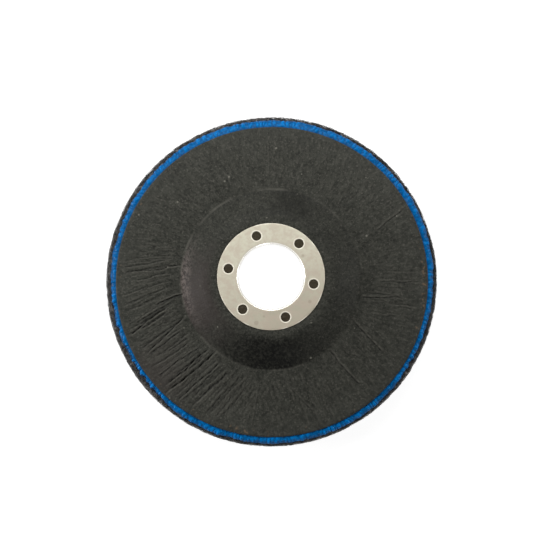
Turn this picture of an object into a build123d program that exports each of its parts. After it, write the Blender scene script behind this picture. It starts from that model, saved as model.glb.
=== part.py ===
from build123d import *

import os
from math import cos, radians, sin, sqrt
from typing import NamedTuple

# Depressed-centre finishing disc for an angle grinder, in millimetres.
# It lies on its fleece: z = 0 is the working face, and +Z runs along the bore to the machine.
# From the working face up come the fleece pad, the adhesive, the moulded backing plate and,
# pressed into the back of the plate's raised hub, a sheet-steel ring whose collar lines the bore.


class CreaseFan(NamedTuple):
    """A run of neighbouring creases in the cloth on the plate's back, angles in degrees."""

    first_place: float
    last_place: float
    first_heading: float
    last_heading: float
    count: int
    longest: float
    depth: float


# Fleece pad
DISC_DIAMETER = 115.0
PAD_THICKNESS = 10.0
PAD_LIP = 1.8
PAD_RIM_BREAK = 0.6

# Backing plate, a moulding of even thickness
PLATE_INSET = 3.5
PLATE_THICKNESS = 2.4
PLATE_RIM_BREAK = 0.3
HUB_RISE = 5.2
HUB_LEDGE = 1.25
HUB_SLOPE = 31.0
SHOULDER_RADIUS = 8.7
FOOT_RADIUS = 4.5

# Creases pressed into the cloth between the hub's foot and the plate's rim
CREASE_WIDTH = 0.56
CREASE_OVERCUT_RATIO = 1.08
CREASE_MARGIN = 0.9
CREASE_SHORTEST_SHARE = 0.55
CREASE_STEP = 2.4
CREASE_FANS = (
    CreaseFan(169.0, 192.0, 185.0, 208.0, 12, 18.0, 0.20),
    CreaseFan(194.5, 226.0, 211.0, 217.0, 16, 20.0, 0.22),
    CreaseFan(228.5, 253.0, 217.5, 229.0, 13, 20.0, 0.24),
    CreaseFan(256.0, 262.0, 236.0, 255.0, 3, 18.0, 0.16),
    CreaseFan(284.0, 284.0, 314.0, 314.0, 1, 13.0, 0.14),
    CreaseFan(307.5, 307.5, 307.0, 307.0, 1, 16.0, 0.20),
    CreaseFan(327.0, 327.0, 309.5, 309.5, 1, 16.0, 0.18),
    CreaseFan(342.0, 362.0, 351.0, 362.0, 9, 14.0, 0.18),
    CreaseFan(24.0, 24.0, 38.0, 38.0, 1, 14.0, 0.18),
    CreaseFan(91.0, 91.0, 93.0, 93.0, 1, 15.0, 0.14),
)

# Steel ring, pressed from sheet with its collar turned down through the bore
BORE_DIAMETER = 22.23
RING_DIAMETER = 36.5
SHEET_THICKNESS = 0.5
BEND_RADIUS = 0.2
BEND_FLATS = 2
RING_PROUD = 0.3
COLLAR_SETBACK = 0.2
ANCHOR_COUNT = 6
ANCHOR_HOLE_DIAMETER = 3.2
FIRST_ANCHOR_ANGLE = 49.7

# Adhesive: a thin bond under the plate and the bead squeezed out round its rim
BOND_THICKNESS = 0.4
BOND_INSET = 0.6
BEAD_WIDTH = 2.3
BEAD_HEIGHT = 1.9
BEAD_TOP_SHARE = 0.4
BEAD_LAYERS = 3
BEAD_SWELLS = 2
BEAD_SWELL = 0.22
BEAD_SWELL_ANGLE = 60.0
BEAD_LUMPS = 26
BEAD_LUMP = 0.17
BEAD_POINTS_PER_LUMP = 3

# Fits
RING_CLEARANCE = 0.03
PLUG_CLEARANCE = 0.02
PLUG_SUNK = 0.1
BEAD_CLEARANCE = 0.02

# Levels, from the working face up
BOND_TOP = PAD_THICKNESS + BOND_THICKNESS
PLATE_BACK = BOND_TOP + PLATE_THICKNESS
HUB_BACK = PLATE_BACK + HUB_RISE
HUB_FRONT = HUB_BACK - PLATE_THICKNESS
RING_BACK = HUB_BACK + RING_PROUD
RING_SEAT = RING_BACK - SHEET_THICKNESS

# Radii that follow from the sizes above
DISC_RADIUS = DISC_DIAMETER / 2
PLATE_RADIUS = DISC_RADIUS - PLATE_INSET
BORE_RADIUS = BORE_DIAMETER / 2
RING_RADIUS = RING_DIAMETER / 2
COLLAR_RADIUS = BORE_RADIUS + SHEET_THICKNESS
PLATE_BORE_RADIUS = COLLAR_RADIUS + RING_CLEARANCE
ANCHOR_RADIUS = (BORE_RADIUS + RING_RADIUS) / 2
HUB_FLAT_RADIUS = RING_RADIUS + HUB_LEDGE
SLOPE_RUN = SHOULDER_RADIUS + FOOT_RADIUS
SLOPE_LENGTH = (HUB_RISE - SLOPE_RUN * (1 - cos(radians(HUB_SLOPE)))) / sin(radians(HUB_SLOPE))
FOOT_END_RADIUS = (
    HUB_FLAT_RADIUS + SLOPE_RUN * sin(radians(HUB_SLOPE)) + SLOPE_LENGTH * cos(radians(HUB_SLOPE))
)
PAD_HOLE_RADIUS = FOOT_END_RADIUS - PAD_LIP


def at_angle(radius, angle, height=0.0):
    """Point at a radius and an angle in degrees round the bore's axis."""
    return Vector(radius * cos(radians(angle)), radius * sin(radians(angle)), height)


def turned(outline):
    """Solid turned about the bore's axis from a closed outline in the XZ plane."""
    return revolve(make_face(Plane.XZ * outline), Axis.Z)


def fleece_pad():
    """Flat ring of pressed fleece with its rim's corners broken."""
    band = Rectangle(DISC_RADIUS - PAD_HOLE_RADIUS, PAD_THICKNESS, align=Align.MIN)
    section = Pos(PAD_HOLE_RADIUS, 0) * band
    section = chamfer(section.vertices().group_by(Axis.X)[-1], PAD_RIM_BREAK)
    return revolve(Plane.XZ * section, Axis.Z)


def plate_face(level, shoulder_radius, foot_radius):
    """One side of the plate's section, from the hub's flat out to the rim."""
    shoulder = JernArc((HUB_FLAT_RADIUS, level), (1, 0), shoulder_radius, -HUB_SLOPE)
    slope = Line(shoulder @ 1, shoulder @ 1 + (shoulder % 1) * SLOPE_LENGTH)
    foot = JernArc(slope @ 1, slope % 1, foot_radius, HUB_SLOPE)
    return [shoulder, slope, foot]


def moulding():
    """Plate of even thickness with its raised hub, and a pocket for the steel ring."""
    back = plate_face(HUB_BACK, SHOULDER_RADIUS, FOOT_RADIUS)
    front = plate_face(HUB_FRONT, SHOULDER_RADIUS - PLATE_THICKNESS, FOOT_RADIUS + PLATE_THICKNESS)
    relief = BEND_RADIUS + RING_CLEARANCE
    pocket_radius = RING_RADIUS + RING_CLEARANCE
    pocket = Polyline(
        front[0] @ 0,
        (PLATE_BORE_RADIUS, HUB_FRONT),
        (PLATE_BORE_RADIUS, RING_SEAT - relief),
        (PLATE_BORE_RADIUS + relief, RING_SEAT),
        (pocket_radius, RING_SEAT),
        (pocket_radius, HUB_BACK),
        back[0] @ 0,
    )
    rim = Polyline(
        back[-1] @ 1,
        (PLATE_RADIUS - PLATE_RIM_BREAK, PLATE_BACK),
        (PLATE_RADIUS, PLATE_BACK - PLATE_RIM_BREAK),
        (PLATE_RADIUS, BOND_TOP),
        front[-1] @ 1,
    )
    return turned(Curve([pocket, *back, rim, *front]))


def anchor_places():
    """Places of the ring's anchor holes and the plate's plugs in them."""
    return PolarLocations(ANCHOR_RADIUS, ANCHOR_COUNT, start_angle=FIRST_ANCHOR_ANGLE)


def anchor_plugs():
    """Resin that flowed up into the ring's holes, just short of its back."""
    height = SHEET_THICKNESS - PLUG_SUNK
    plug = Cylinder(
        ANCHOR_HOLE_DIAMETER / 2 - PLUG_CLEARANCE,
        height,
        align=(Align.CENTER, Align.CENTER, Align.MIN),
    )
    return [Pos(0, 0, RING_SEAT) * place * plug for place in anchor_places()]


def crease_cutter(length, depth):
    """Thin wedge along X that opens a crease at z = 0, deepest at its middle, tapered to its ends."""
    tip = length / 2 * CREASE_OVERCUT_RATIO
    flank = CREASE_WIDTH / 2 * CREASE_OVERCUT_RATIO
    top = depth * (CREASE_OVERCUT_RATIO - 1)
    rim = [(tip, 0, top), (0, flank, top), (-tip, 0, top), (0, -flank, top)]
    return ConvexPolyhedron([(0, 0, -depth), *rim])


def creases():
    """Cutters for every crease, each fan leaning a little less than its places turn."""
    inner = FOOT_END_RADIUS + CREASE_MARGIN
    outer = PLATE_RADIUS - CREASE_MARGIN
    cutters = []
    for fan in CREASE_FANS:
        for index in range(fan.count):
            share = index / max(1, fan.count - 1)
            place = fan.first_place + share * (fan.last_place - fan.first_place)
            heading = fan.first_heading + share * (fan.last_heading - fan.first_heading)
            longest = min(fan.longest, outer - inner)
            shortening = (1 - cos(CREASE_STEP * index)) / 2 * (1 - CREASE_SHORTEST_SHARE)
            length = longest * (1 - shortening)
            slack = (outer - inner - length) / 2
            middle = (inner + outer) / 2 + slack * sin(2 * CREASE_STEP * index)
            centre = at_angle(middle, place, PLATE_BACK)
            cutters.append(Pos(*centre) * Rot(0, 0, heading) * crease_cutter(length, fan.depth))
    return cutters


def backing_plate():
    """Cloth and resin moulding: raised hub, plugs for the ring and the creased back."""
    plate = moulding() + anchor_plugs()
    for cutter in creases():
        plate -= cutter
    return plate


def bend(radius):
    """Quarter bend in short flats, from level out to plumb, about a centre common to all radii."""
    centre = (COLLAR_RADIUS + BEND_RADIUS, RING_SEAT - BEND_RADIUS)
    turns = [radians(90 * step / BEND_FLATS) for step in range(BEND_FLATS + 1)]
    return [(centre[0] - radius * sin(turn), centre[1] + radius * cos(turn)) for turn in turns]


def hub_ring():
    """Pressed ring: flat flange, bend and collar, with a circle of anchor holes."""
    collar_end = HUB_FRONT + COLLAR_SETBACK
    section = Polyline(
        (RING_RADIUS, RING_BACK),
        *bend(BEND_RADIUS + SHEET_THICKNESS),
        (BORE_RADIUS, collar_end),
        (COLLAR_RADIUS, collar_end),
        *reversed(bend(BEND_RADIUS)),
        (RING_RADIUS, RING_SEAT),
        (RING_RADIUS, RING_BACK),
    )
    hole = Cylinder(ANCHOR_HOLE_DIAMETER / 2, 2 * SHEET_THICKNESS)
    return turned(section) - [Pos(0, 0, RING_SEAT) * place * hole for place in anchor_places()]


def bead_outline(share):
    """Uneven outline of the bead, at a share of its full width."""
    points = []
    count = BEAD_LUMPS * BEAD_POINTS_PER_LUMP
    for index in range(count):
        angle = 360 * index / count
        swell = BEAD_SWELL * cos(radians(BEAD_SWELLS * (angle - BEAD_SWELL_ANGLE)))
        lump = BEAD_LUMP * sin(radians(BEAD_LUMPS * angle) + 2 * sin(radians(BEAD_SWELLS * angle)))
        points.append(at_angle(PLATE_RADIUS + share * (BEAD_WIDTH + swell + lump), angle))
    return make_face(Spline(*points, periodic=True))


def glue_bead():
    """Bond under the plate, and the lumpy bead that leans on the plate's rim."""
    layers = []
    for index in range(BEAD_LAYERS):
        level = index / (BEAD_LAYERS - 1)
        share = sqrt(1 - (1 - BEAD_TOP_SHARE**2) * level**2)
        layers.append(Pos(0, 0, PAD_THICKNESS + BEAD_HEIGHT * level) * bead_outline(share))
    bead = loft(layers, ruled=True)
    plate_room = Cylinder(
        PLATE_RADIUS + BEAD_CLEARANCE, BEAD_HEIGHT, align=(Align.CENTER, Align.CENTER, Align.MIN)
    )
    hollow = Cylinder(
        FOOT_END_RADIUS + BOND_INSET, BOND_THICKNESS, align=(Align.CENTER, Align.CENTER, Align.MIN)
    )
    return bead - Pos(0, 0, BOND_TOP) * plate_room - Pos(0, 0, PAD_THICKNESS) * hollow


os.makedirs("parts", exist_ok=True)
for make in (fleece_pad, glue_bead, backing_plate, hub_ring):
    export_step(make(), f"parts/{make.__name__}.step")
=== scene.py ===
"""Dresses a finishing disc: creased laminate, tinned hub ring, blue adhesive and fibrous fleece."""

import logging
import math
from collections.abc import Iterable, Sequence
from dataclasses import dataclass
from enum import Enum
from typing import ClassVar

import bmesh
import bpy
import numpy as np
from bpy.types import Material, Node, NodeOutputs, NodeSocket, NodeTree, Object
from mathutils import Matrix, Vector


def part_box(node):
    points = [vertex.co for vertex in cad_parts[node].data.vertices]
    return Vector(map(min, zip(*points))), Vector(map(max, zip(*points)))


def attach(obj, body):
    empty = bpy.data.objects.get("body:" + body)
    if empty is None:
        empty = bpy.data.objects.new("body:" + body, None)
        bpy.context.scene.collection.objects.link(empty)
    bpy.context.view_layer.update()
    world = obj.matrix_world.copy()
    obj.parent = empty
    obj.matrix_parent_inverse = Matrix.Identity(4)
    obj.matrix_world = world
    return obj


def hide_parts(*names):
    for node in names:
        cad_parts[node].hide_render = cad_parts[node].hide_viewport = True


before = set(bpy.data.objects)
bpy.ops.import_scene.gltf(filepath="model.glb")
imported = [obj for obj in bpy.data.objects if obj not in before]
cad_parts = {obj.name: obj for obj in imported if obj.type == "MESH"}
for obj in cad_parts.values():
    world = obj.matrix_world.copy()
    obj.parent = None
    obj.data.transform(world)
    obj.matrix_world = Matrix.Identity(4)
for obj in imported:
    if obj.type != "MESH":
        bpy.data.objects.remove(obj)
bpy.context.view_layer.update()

log = logging.getLogger("finishing_disc")

MM = 0.001
BODY = "root"
PHOTO_WIDTH_PX = 560.0
SENSOR_WIDTH_MM = 36.0
SHARP_ANGLE = math.radians(38)
TUBE_SIDES = 3
WHITE = (1.0, 1.0, 1.0, 1.0)

Array = np.ndarray
Faces = list[tuple[int, ...]]
Shade = tuple[float, float, float, float]
Value = NodeSocket | float
Colour = NodeSocket | Shade


def linear(red: int, green: int, blue: int) -> Shade:
    """Turns a display colour into the linear one that a shader takes.

    Args:
        red: Red from 0 to 255.
        green: Green from 0 to 255.
        blue: Blue from 0 to 255.

    Returns:
        Linear red, green, blue and an alpha of one.
    """
    parts = [channel / 255 for channel in (red, green, blue)]
    low = [part / 12.92 if part < 0.04045 else ((part + 0.055) / 1.055) ** 2.4 for part in parts]
    return (low[0], low[1], low[2], 1.0)


def ripple_noise(points: Array, wavelength: float, seed: int, waves: int = 28) -> Array:
    """Smooth noise about zero, as a sum of plane waves on random headings.

    Args:
        points: Places in metres, one row each.
        wavelength: Typical distance from crest to crest, in metres.
        seed: Seed of the random headings.
        waves: How many waves are summed.

    Returns:
        One value for each place, with a spread of about one.
    """
    rng = np.random.default_rng(seed)
    headings = rng.normal(size=(waves, points.shape[1]))
    headings /= np.linalg.norm(headings, axis=1)[:, None]
    numbers = 2 * math.pi / wavelength * rng.uniform(0.7, 1.4, waves)
    phases = rng.uniform(0, 2 * math.pi, waves)
    total = np.zeros(len(points))
    for heading, number, phase in zip(headings, numbers, phases):
        total += np.cos(points @ heading * number + phase)
    return total * math.sqrt(2 / waves)


@dataclass(frozen=True)
class Ripple:
    """One layer of unevenness: height and wavelength in metres."""

    height: float
    wavelength: float
    seed: int
    waves: int = 28

    def at(self, points: Array) -> Array:
        """Its height at each place, in metres."""
        return self.height * ripple_noise(points, self.wavelength, self.seed, self.waves)


def smooth_step(values: Array, low: float, high: float) -> Array:
    """Eases from 0 at the low value to 1 at the high one.

    Args:
        values: Values to ease.
        low: Value that gives 0.
        high: Value that gives 1.

    Returns:
        Eased values.
    """
    share = np.clip((values - low) / (high - low), 0, 1)
    return share * share * (3 - 2 * share)


def on_circle(radius: Array | float, angle: Array) -> Array:
    """Places at a radius and an angle about the bore.

    Args:
        radius: Radii in metres.
        angle: Angles in radians.

    Returns:
        X and Y in metres, in the last axis.
    """
    return np.stack([radius * np.cos(angle), radius * np.sin(angle)], axis=-1)


@dataclass(frozen=True)
class Ring:
    """One ring of points about the bore, in metres."""

    radius: float
    height: float
    columns: int


class TurnedSkin:
    """A skin of rings about the bore, stitched in order and free to be pushed about."""

    def __init__(self, rings: Sequence[Ring]) -> None:
        """Lays out the rings.

        Args:
            rings: The rings in order; neighbours have equal columns or a whole ratio of them.
        """
        self.rings = list(rings)
        starts = np.cumsum([0] + [ring.columns for ring in self.rings])
        self.starts = [int(start) for start in starts]
        angles = [np.arange(ring.columns) * 2 * math.pi / ring.columns for ring in self.rings]
        self.angles = np.concatenate(angles)
        self.rows = np.concatenate([np.full(r.columns, i) for i, r in enumerate(self.rings)])
        radii = np.array([ring.radius for ring in self.rings])[self.rows]
        heights = np.array([ring.height for ring in self.rings])[self.rows]
        self.points = np.column_stack([on_circle(radii, self.angles), heights])

    def radii(self) -> Array:
        """Distance of each point from the bore's axis."""
        return np.hypot(self.points[:, 0], self.points[:, 1])

    def push_out(self, distance: Array) -> None:
        """Moves points straight away from the axis.

        Args:
            distance: How far each point goes, in metres.
        """
        self.points[:, :2] += on_circle(distance, self.angles)

    def faces(self, closed: bool = True) -> Faces:
        """Stitches each ring to the next.

        Args:
            closed: Whether the last ring is stitched to the first.

        Returns:
            Faces as tuples of point numbers.
        """
        count = len(self.rings)
        faces: Faces = []
        for row in range(count if closed else count - 1):
            faces += self._stitch(row, (row + 1) % count)
        return faces

    def _stitch(self, one: int, two: int) -> Faces:
        """Stitches two rings, with a fan at each point of the coarser one where their columns differ.

        Args:
            one: Number of the first ring.
            two: Number of the second ring.

        Returns:
            Faces as tuples of point numbers.
        """
        a, b = self.starts[one], self.starts[two]
        n, m = self.rings[one].columns, self.rings[two].columns
        if n == m:
            return [(a + j, a + (j + 1) % n, b + (j + 1) % n, b + j) for j in range(n)]
        if n < m:
            return [face[::-1] for face in self._stitch(two, one)]
        ratio, faces = n // m, []
        for j in range(m):
            here, ahead, half = b + j, b + (j + 1) % m, ratio // 2
            fine = [a + (ratio * j + step) % n for step in range(ratio + 1)]
            faces += [(fine[s], fine[s + 1], here) for s in range(half)]
            faces.append((fine[half], ahead, here))
            faces += [(fine[s], fine[s + 1], ahead) for s in range(half, ratio)]
        return faces


def join_parts(parts: Iterable[tuple[Array, Faces]]) -> tuple[Array, Faces]:
    """Joins several meshes into one.

    Args:
        parts: Points and faces of each.

    Returns:
        All the points, and all the faces with their new point numbers.
    """
    points: list[Array] = []
    faces: Faces = []
    start = 0
    for part_points, part_faces in parts:
        points.append(part_points)
        faces += [tuple(start + number for number in face) for face in part_faces]
        start += len(part_points)
    return np.vstack(points), faces


def make_piece(
    name: str,
    points: Array,
    faces: Iterable[tuple[int, ...]],
    material: Material,
    merge: float = 0.0,
    tones: dict[str, Array] | None = None,
) -> Object:
    """Makes a smooth-shaded mesh object with its normals outward.

    Args:
        name: The piece's name.
        points: Places in metres, one row each.
        faces: Faces as tuples of point numbers.
        material: The finish.
        merge: Distance under which points are welded, in metres.
        tones: Named values from 0 to 1 for each point, kept as attributes.

    Returns:
        The new object, in the scene.
    """
    mesh = bpy.data.meshes.new(name)
    mesh.from_pydata(points.tolist(), [], list(faces))
    for key, values in (tones or {}).items():
        attribute = mesh.attributes.new(key, "FLOAT", "POINT")
        attribute.data.foreach_set("value", np.ascontiguousarray(values, dtype=np.float32))
    shape = bmesh.new()
    shape.from_mesh(mesh)
    if merge:
        bmesh.ops.remove_doubles(shape, verts=shape.verts, dist=merge)
    bmesh.ops.recalc_face_normals(shape, faces=shape.faces)
    shape.to_mesh(mesh)
    shape.free()
    mesh.shade_smooth()
    mesh.set_sharp_from_angle(angle=SHARP_ANGLE)
    mesh.materials.append(material)
    piece = bpy.data.objects.new(name, mesh)
    bpy.context.scene.collection.objects.link(piece)
    return piece


class SubAssembly:
    """Base of the sub-assemblies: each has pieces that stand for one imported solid.

    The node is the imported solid's name, and the slot is the record's material slot.
    """

    node: ClassVar[str] = ""
    slot: ClassVar[str] = ""

    def build(self, material: Material) -> list[Object]:
        """Builds the pieces, in their material."""
        raise NotImplementedError

    def dress(self, material: Material) -> list[Object]:
        """Builds the pieces and fixes each to the disc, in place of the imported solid.

        Args:
            material: The finish.

        Returns:
            The pieces.
        """
        pieces = self.build(material)
        for piece in pieces:
            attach(piece, BODY)
            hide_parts(self.node)
        return pieces


class Graph:
    """A node tree with short calls to add and join nodes."""

    def __init__(self, tree: NodeTree) -> None:
        """Wraps a tree.

        Args:
            tree: The material's, world's or group's tree.
        """
        self.tree = tree

    def add(self, kind: str, inputs: dict | None = None, **settings: object) -> Node:
        """Adds a node.

        Args:
            kind: Blender's name for the kind of node.
            inputs: Input names or numbers, with a value or the socket that feeds each.
            **settings: Properties of the node itself.

        Returns:
            The new node.
        """
        node = self.tree.nodes.new(kind)
        for name, value in settings.items():
            setattr(node, name, value)
        for name, value in (inputs or {}).items():
            if isinstance(value, NodeSocket):
                self.tree.links.new(value, node.inputs[name])
            else:
                node.inputs[name].default_value = value
        return node

    def feed(self, node: Node, **sockets: NodeSocket) -> None:
        """Feeds inputs of a node.

        Args:
            node: The node.
            **sockets: What feeds each input, by its name with underscores for spaces.
        """
        for key, socket in sockets.items():
            self.tree.links.new(socket, node.inputs[key.replace("_", " ")])

    def math(self, operation: str, *values: Value, clamped: bool = False) -> NodeSocket:
        """Adds a sum on numbers.

        Args:
            operation: Blender's name for the operation.
            *values: Numbers or sockets.
            clamped: Whether the result is kept from 0 to 1.

        Returns:
            The result's socket.
        """
        node = self.add("ShaderNodeMath", dict(enumerate(values)), operation=operation, use_clamp=clamped)
        return node.outputs[0]

    def product(self, *values: Value) -> NodeSocket:
        """Multiplies several values.

        Args:
            *values: Numbers or sockets.

        Returns:
            The product's socket.
        """
        total = values[0]
        for value in values[1:]:
            total = self.math("MULTIPLY", total, value)
        return total

    def length(self, one: NodeSocket, two: NodeSocket) -> NodeSocket:
        """Length of a level arrow, from its parts along X and Y."""
        return self.math("SQRT", self.math("ADD", self.product(one, one), self.product(two, two)))

    def stretch(self, value: Value, low: float, high: float) -> NodeSocket:
        """Maps a range of values to 0 and 1, clamped.

        Args:
            value: The value to map.
            low: Value that gives 0.
            high: Value that gives 1.

        Returns:
            The mapped value's socket.
        """
        return self.add("ShaderNodeMapRange", {0: value, 1: low, 2: high}).outputs[0]

    def line(self, value: Value, middle: float, half_width: float) -> NodeSocket:
        """Draws a soft line round a value.

        Args:
            value: The value that is compared.
            middle: Value that gives 1.
            half_width: How far from the middle the line has faded to 0.

        Returns:
            The line's socket.
        """
        off = self.math("ABSOLUTE", self.math("SUBTRACT", value, middle))
        return self.stretch(off, half_width, 0.2 * half_width)

    def blend(self, share: Value, one: Colour, two: Colour) -> NodeSocket:
        """Mixes two colours.

        Args:
            share: How much of the second.
            one: The first colour.
            two: The second colour.

        Returns:
            The mixed colour's socket.
        """
        inputs = {0: share, 6: one, 7: two}
        return self.add("ShaderNodeMix", inputs, data_type="RGBA").outputs[2]

    def lay(self, colour: Colour, tint: Shade, *shares: Value) -> NodeSocket:
        """Lays a tint over a colour.

        Args:
            colour: The colour beneath.
            tint: The tint.
            *shares: Values whose product is how much of the tint shows.

        Returns:
            The new colour's socket.
        """
        return self.blend(self.product(*shares), colour, tint)

    def place(self) -> NodeSocket:
        """The place on the object, in metres."""
        return self.add("ShaderNodeTexCoord").outputs["Object"]

    def axes(self, place: NodeSocket | None = None) -> NodeOutputs:
        """Splits a place into its parts along X, Y and Z, in metres.

        Args:
            place: The place: the one on the object if none is given.

        Returns:
            The three sockets, by their letters.
        """
        if place is None:
            place = self.place()
        return self.add("ShaderNodeSeparateXYZ", {0: place}).outputs

    def radius(self) -> NodeSocket:
        """Distance from the bore's axis, in metres."""
        axes = self.axes()
        return self.length(axes["X"], axes["Y"])

    def height(self) -> NodeSocket:
        """Height above the working face, in metres."""
        return self.axes()["Z"]

    def attribute(self, name: str) -> NodeSocket:
        """A named tone of the mesh, from 0 to 1."""
        return self.add("ShaderNodeAttribute", attribute_name=name).outputs["Fac"]

    def noise(self, scale: Value, detail: float = 2.0, place: NodeSocket | None = None) -> NodeSocket:
        """Adds plain noise.

        Args:
            scale: Waves per metre.
            detail: How many finer layers are laid over the first.
            place: Where the noise is read: on the object if none is given.

        Returns:
            The noise's socket, about 0.5.
        """
        if place is None:
            place = self.place()
        inputs = {"Vector": place, "Scale": scale, "Detail": detail}
        return self.add("ShaderNodeTexNoise", inputs).outputs[0]

    def streaks(self, width: float, length: float) -> NodeSocket:
        """Noise in short streaks that point away from the bore.

        Args:
            width: Width of a streak, as a share of its distance from the bore.
            length: Length of a streak, in metres.

        Returns:
            The noise's socket, about 0.5.
        """
        axes = self.axes()
        radius = self.radius()
        turns = [self.math("DIVIDE", axes[key], self.product(radius, width)) for key in "XY"]
        level = self.math("DIVIDE", radius, length)
        place = self.add("ShaderNodeCombineXYZ", {0: turns[0], 1: turns[1], 2: level})
        return self.noise(1.0, place=place.outputs[0])

    def bump(
        self, height: NodeSocket, strength: Value, distance: float, under: NodeSocket | None = None
    ) -> NodeSocket:
        """Adds relief too fine for the mesh.

        Args:
            height: Height from 0 to 1.
            strength: How much of the relief shows.
            distance: The relief's depth, in metres.
            under: Coarser relief that this one lies on.

        Returns:
            The normal's socket.
        """
        inputs = {"Strength": strength, "Distance": distance, "Height": height}
        if under is not None:
            inputs["Normal"] = under
        return self.add("ShaderNodeBump", inputs).outputs[0]


class GroupGraph(Graph):
    """The graph of a new node group of numbers with named sockets."""

    def __init__(self, name: str, result: str, **inputs: float) -> None:
        """Makes the group.

        Args:
            name: The group's name.
            result: Name of the value that it gives.
            **inputs: Its inputs' names and defaults.
        """
        super().__init__(bpy.data.node_groups.new(name, "ShaderNodeTree"))
        for key, value in inputs.items():
            socket = self.tree.interface.new_socket(key, in_out="INPUT", socket_type="NodeSocketFloat")
            socket.default_value = value
        self.tree.interface.new_socket(result, in_out="OUTPUT", socket_type="NodeSocketFloat")
        self.given = self.add("NodeGroupInput").outputs

    def close(self, result: NodeSocket) -> NodeTree:
        """Ends the group.

        Args:
            result: The value that it gives.

        Returns:
            The group's tree.
        """
        self.add("NodeGroupOutput", {0: result})
        return self.tree


def mottle_group() -> NodeTree:
    """Soft uneven tone, from broad clouds and finer blotches.

    Returns:
        A group with Size in metres and Contrast, giving Tone from 0 to 1.
    """
    graph = GroupGraph("uneven_tone", "Tone", Size=0.01, Contrast=1.0)
    scale = graph.math("DIVIDE", 1.0, graph.given["Size"])
    broad = graph.noise(scale, 3.0)
    blotch = graph.noise(graph.product(scale, 3.1), 4.0)
    both = graph.math("ADD", broad, graph.product(blotch, 0.7))
    swing = graph.product(graph.math("SUBTRACT", both, 0.85), graph.given["Contrast"])
    return graph.close(graph.math("ADD", swing, 0.5, clamped=True))


def speck_group() -> NodeTree:
    """Small scattered specks, each a different size.

    Returns:
        A group with Spacing in metres and Amount from 0 to 1, giving Mask.
    """
    graph = GroupGraph("scattered_specks", "Mask", Spacing=0.002, Amount=0.1)
    scale = graph.math("DIVIDE", 1.0, graph.given["Spacing"])
    cells = graph.add("ShaderNodeTexVoronoi", {"Vector": graph.place(), "Scale": scale})
    pick = graph.add("ShaderNodeSeparateColor", {0: cells.outputs["Color"]})
    chosen = graph.math("LESS_THAN", pick.outputs[0], graph.given["Amount"])
    reach = graph.product(pick.outputs[1], 0.32)
    near = graph.math("SUBTRACT", graph.math("ADD", reach, 0.05), cells.outputs["Distance"])
    spot = graph.math("MULTIPLY", near, 9.0, clamped=True)
    return graph.close(graph.product(spot, chosen))


def weave_group() -> NodeTree:
    """Relief of a plain woven cloth, softened by the resin over it.

    Returns:
        A group with Pitch in metres and Turn in radians, giving Height from 0 to 1.
    """
    graph = GroupGraph("cloth_weave", "Height", Pitch=0.001, Turn=0.6)
    drift = graph.add("ShaderNodeTexNoise", {"Vector": graph.place(), "Scale": 260.0})
    shift = graph.add("ShaderNodeVectorMath", {0: drift.outputs["Color"], 3: 0.0011}, operation="SCALE")
    moved = graph.add("ShaderNodeVectorMath", {0: graph.place(), 1: shift.outputs[0]})
    inputs = {"Vector": moved.outputs[0], "Angle": graph.given["Turn"]}
    turned = graph.add("ShaderNodeVectorRotate", inputs, rotation_type="Z_AXIS")
    axes = graph.axes(turned.outputs[0])
    number = graph.math("DIVIDE", 2 * math.pi, graph.given["Pitch"])
    waves = [graph.math("SINE", graph.product(axes[axis], number)) for axis in "XY"]
    return graph.close(graph.math("MULTIPLY_ADD", graph.product(*waves), 0.5, 0.5))


def patch_group() -> NodeTree:
    """One ragged patch about a place on the plan, which fades out at its reach.

    Returns:
        A group with X, Y and Reach in metres, giving Mask from 0 to 1.
    """
    graph = GroupGraph("ragged_patch", "Mask", X=0.0, Y=0.0, Reach=0.01)
    axes = graph.axes()
    distance = graph.length(*(graph.math("SUBTRACT", axes[key], graph.given[key]) for key in "XY"))
    drift = graph.noise(240.0, 4.0)
    ragged = graph.math("MULTIPLY_ADD", drift, 0.012, graph.math("SUBTRACT", distance, 0.006))
    inputs = {0: ragged, 1: graph.given["Reach"], 2: 0.0}
    mask = graph.add("ShaderNodeMapRange", inputs, interpolation_type="SMOOTHSTEP")
    return graph.close(mask.outputs[0])


@dataclass(frozen=True)
class SharedEffects:
    """Node groups that the finishes share; the weave serves the laminate alone."""

    mottle: NodeTree
    specks: NodeTree
    weave: NodeTree
    patch: NodeTree

    @classmethod
    def build(cls) -> "SharedEffects":
        """Builds each group once."""
        return cls(mottle_group(), speck_group(), weave_group(), patch_group())


@dataclass(frozen=True)
class Patch:
    """A ragged patch: its place on the plan and its reach, in metres."""

    x: float
    y: float
    reach: float


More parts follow.
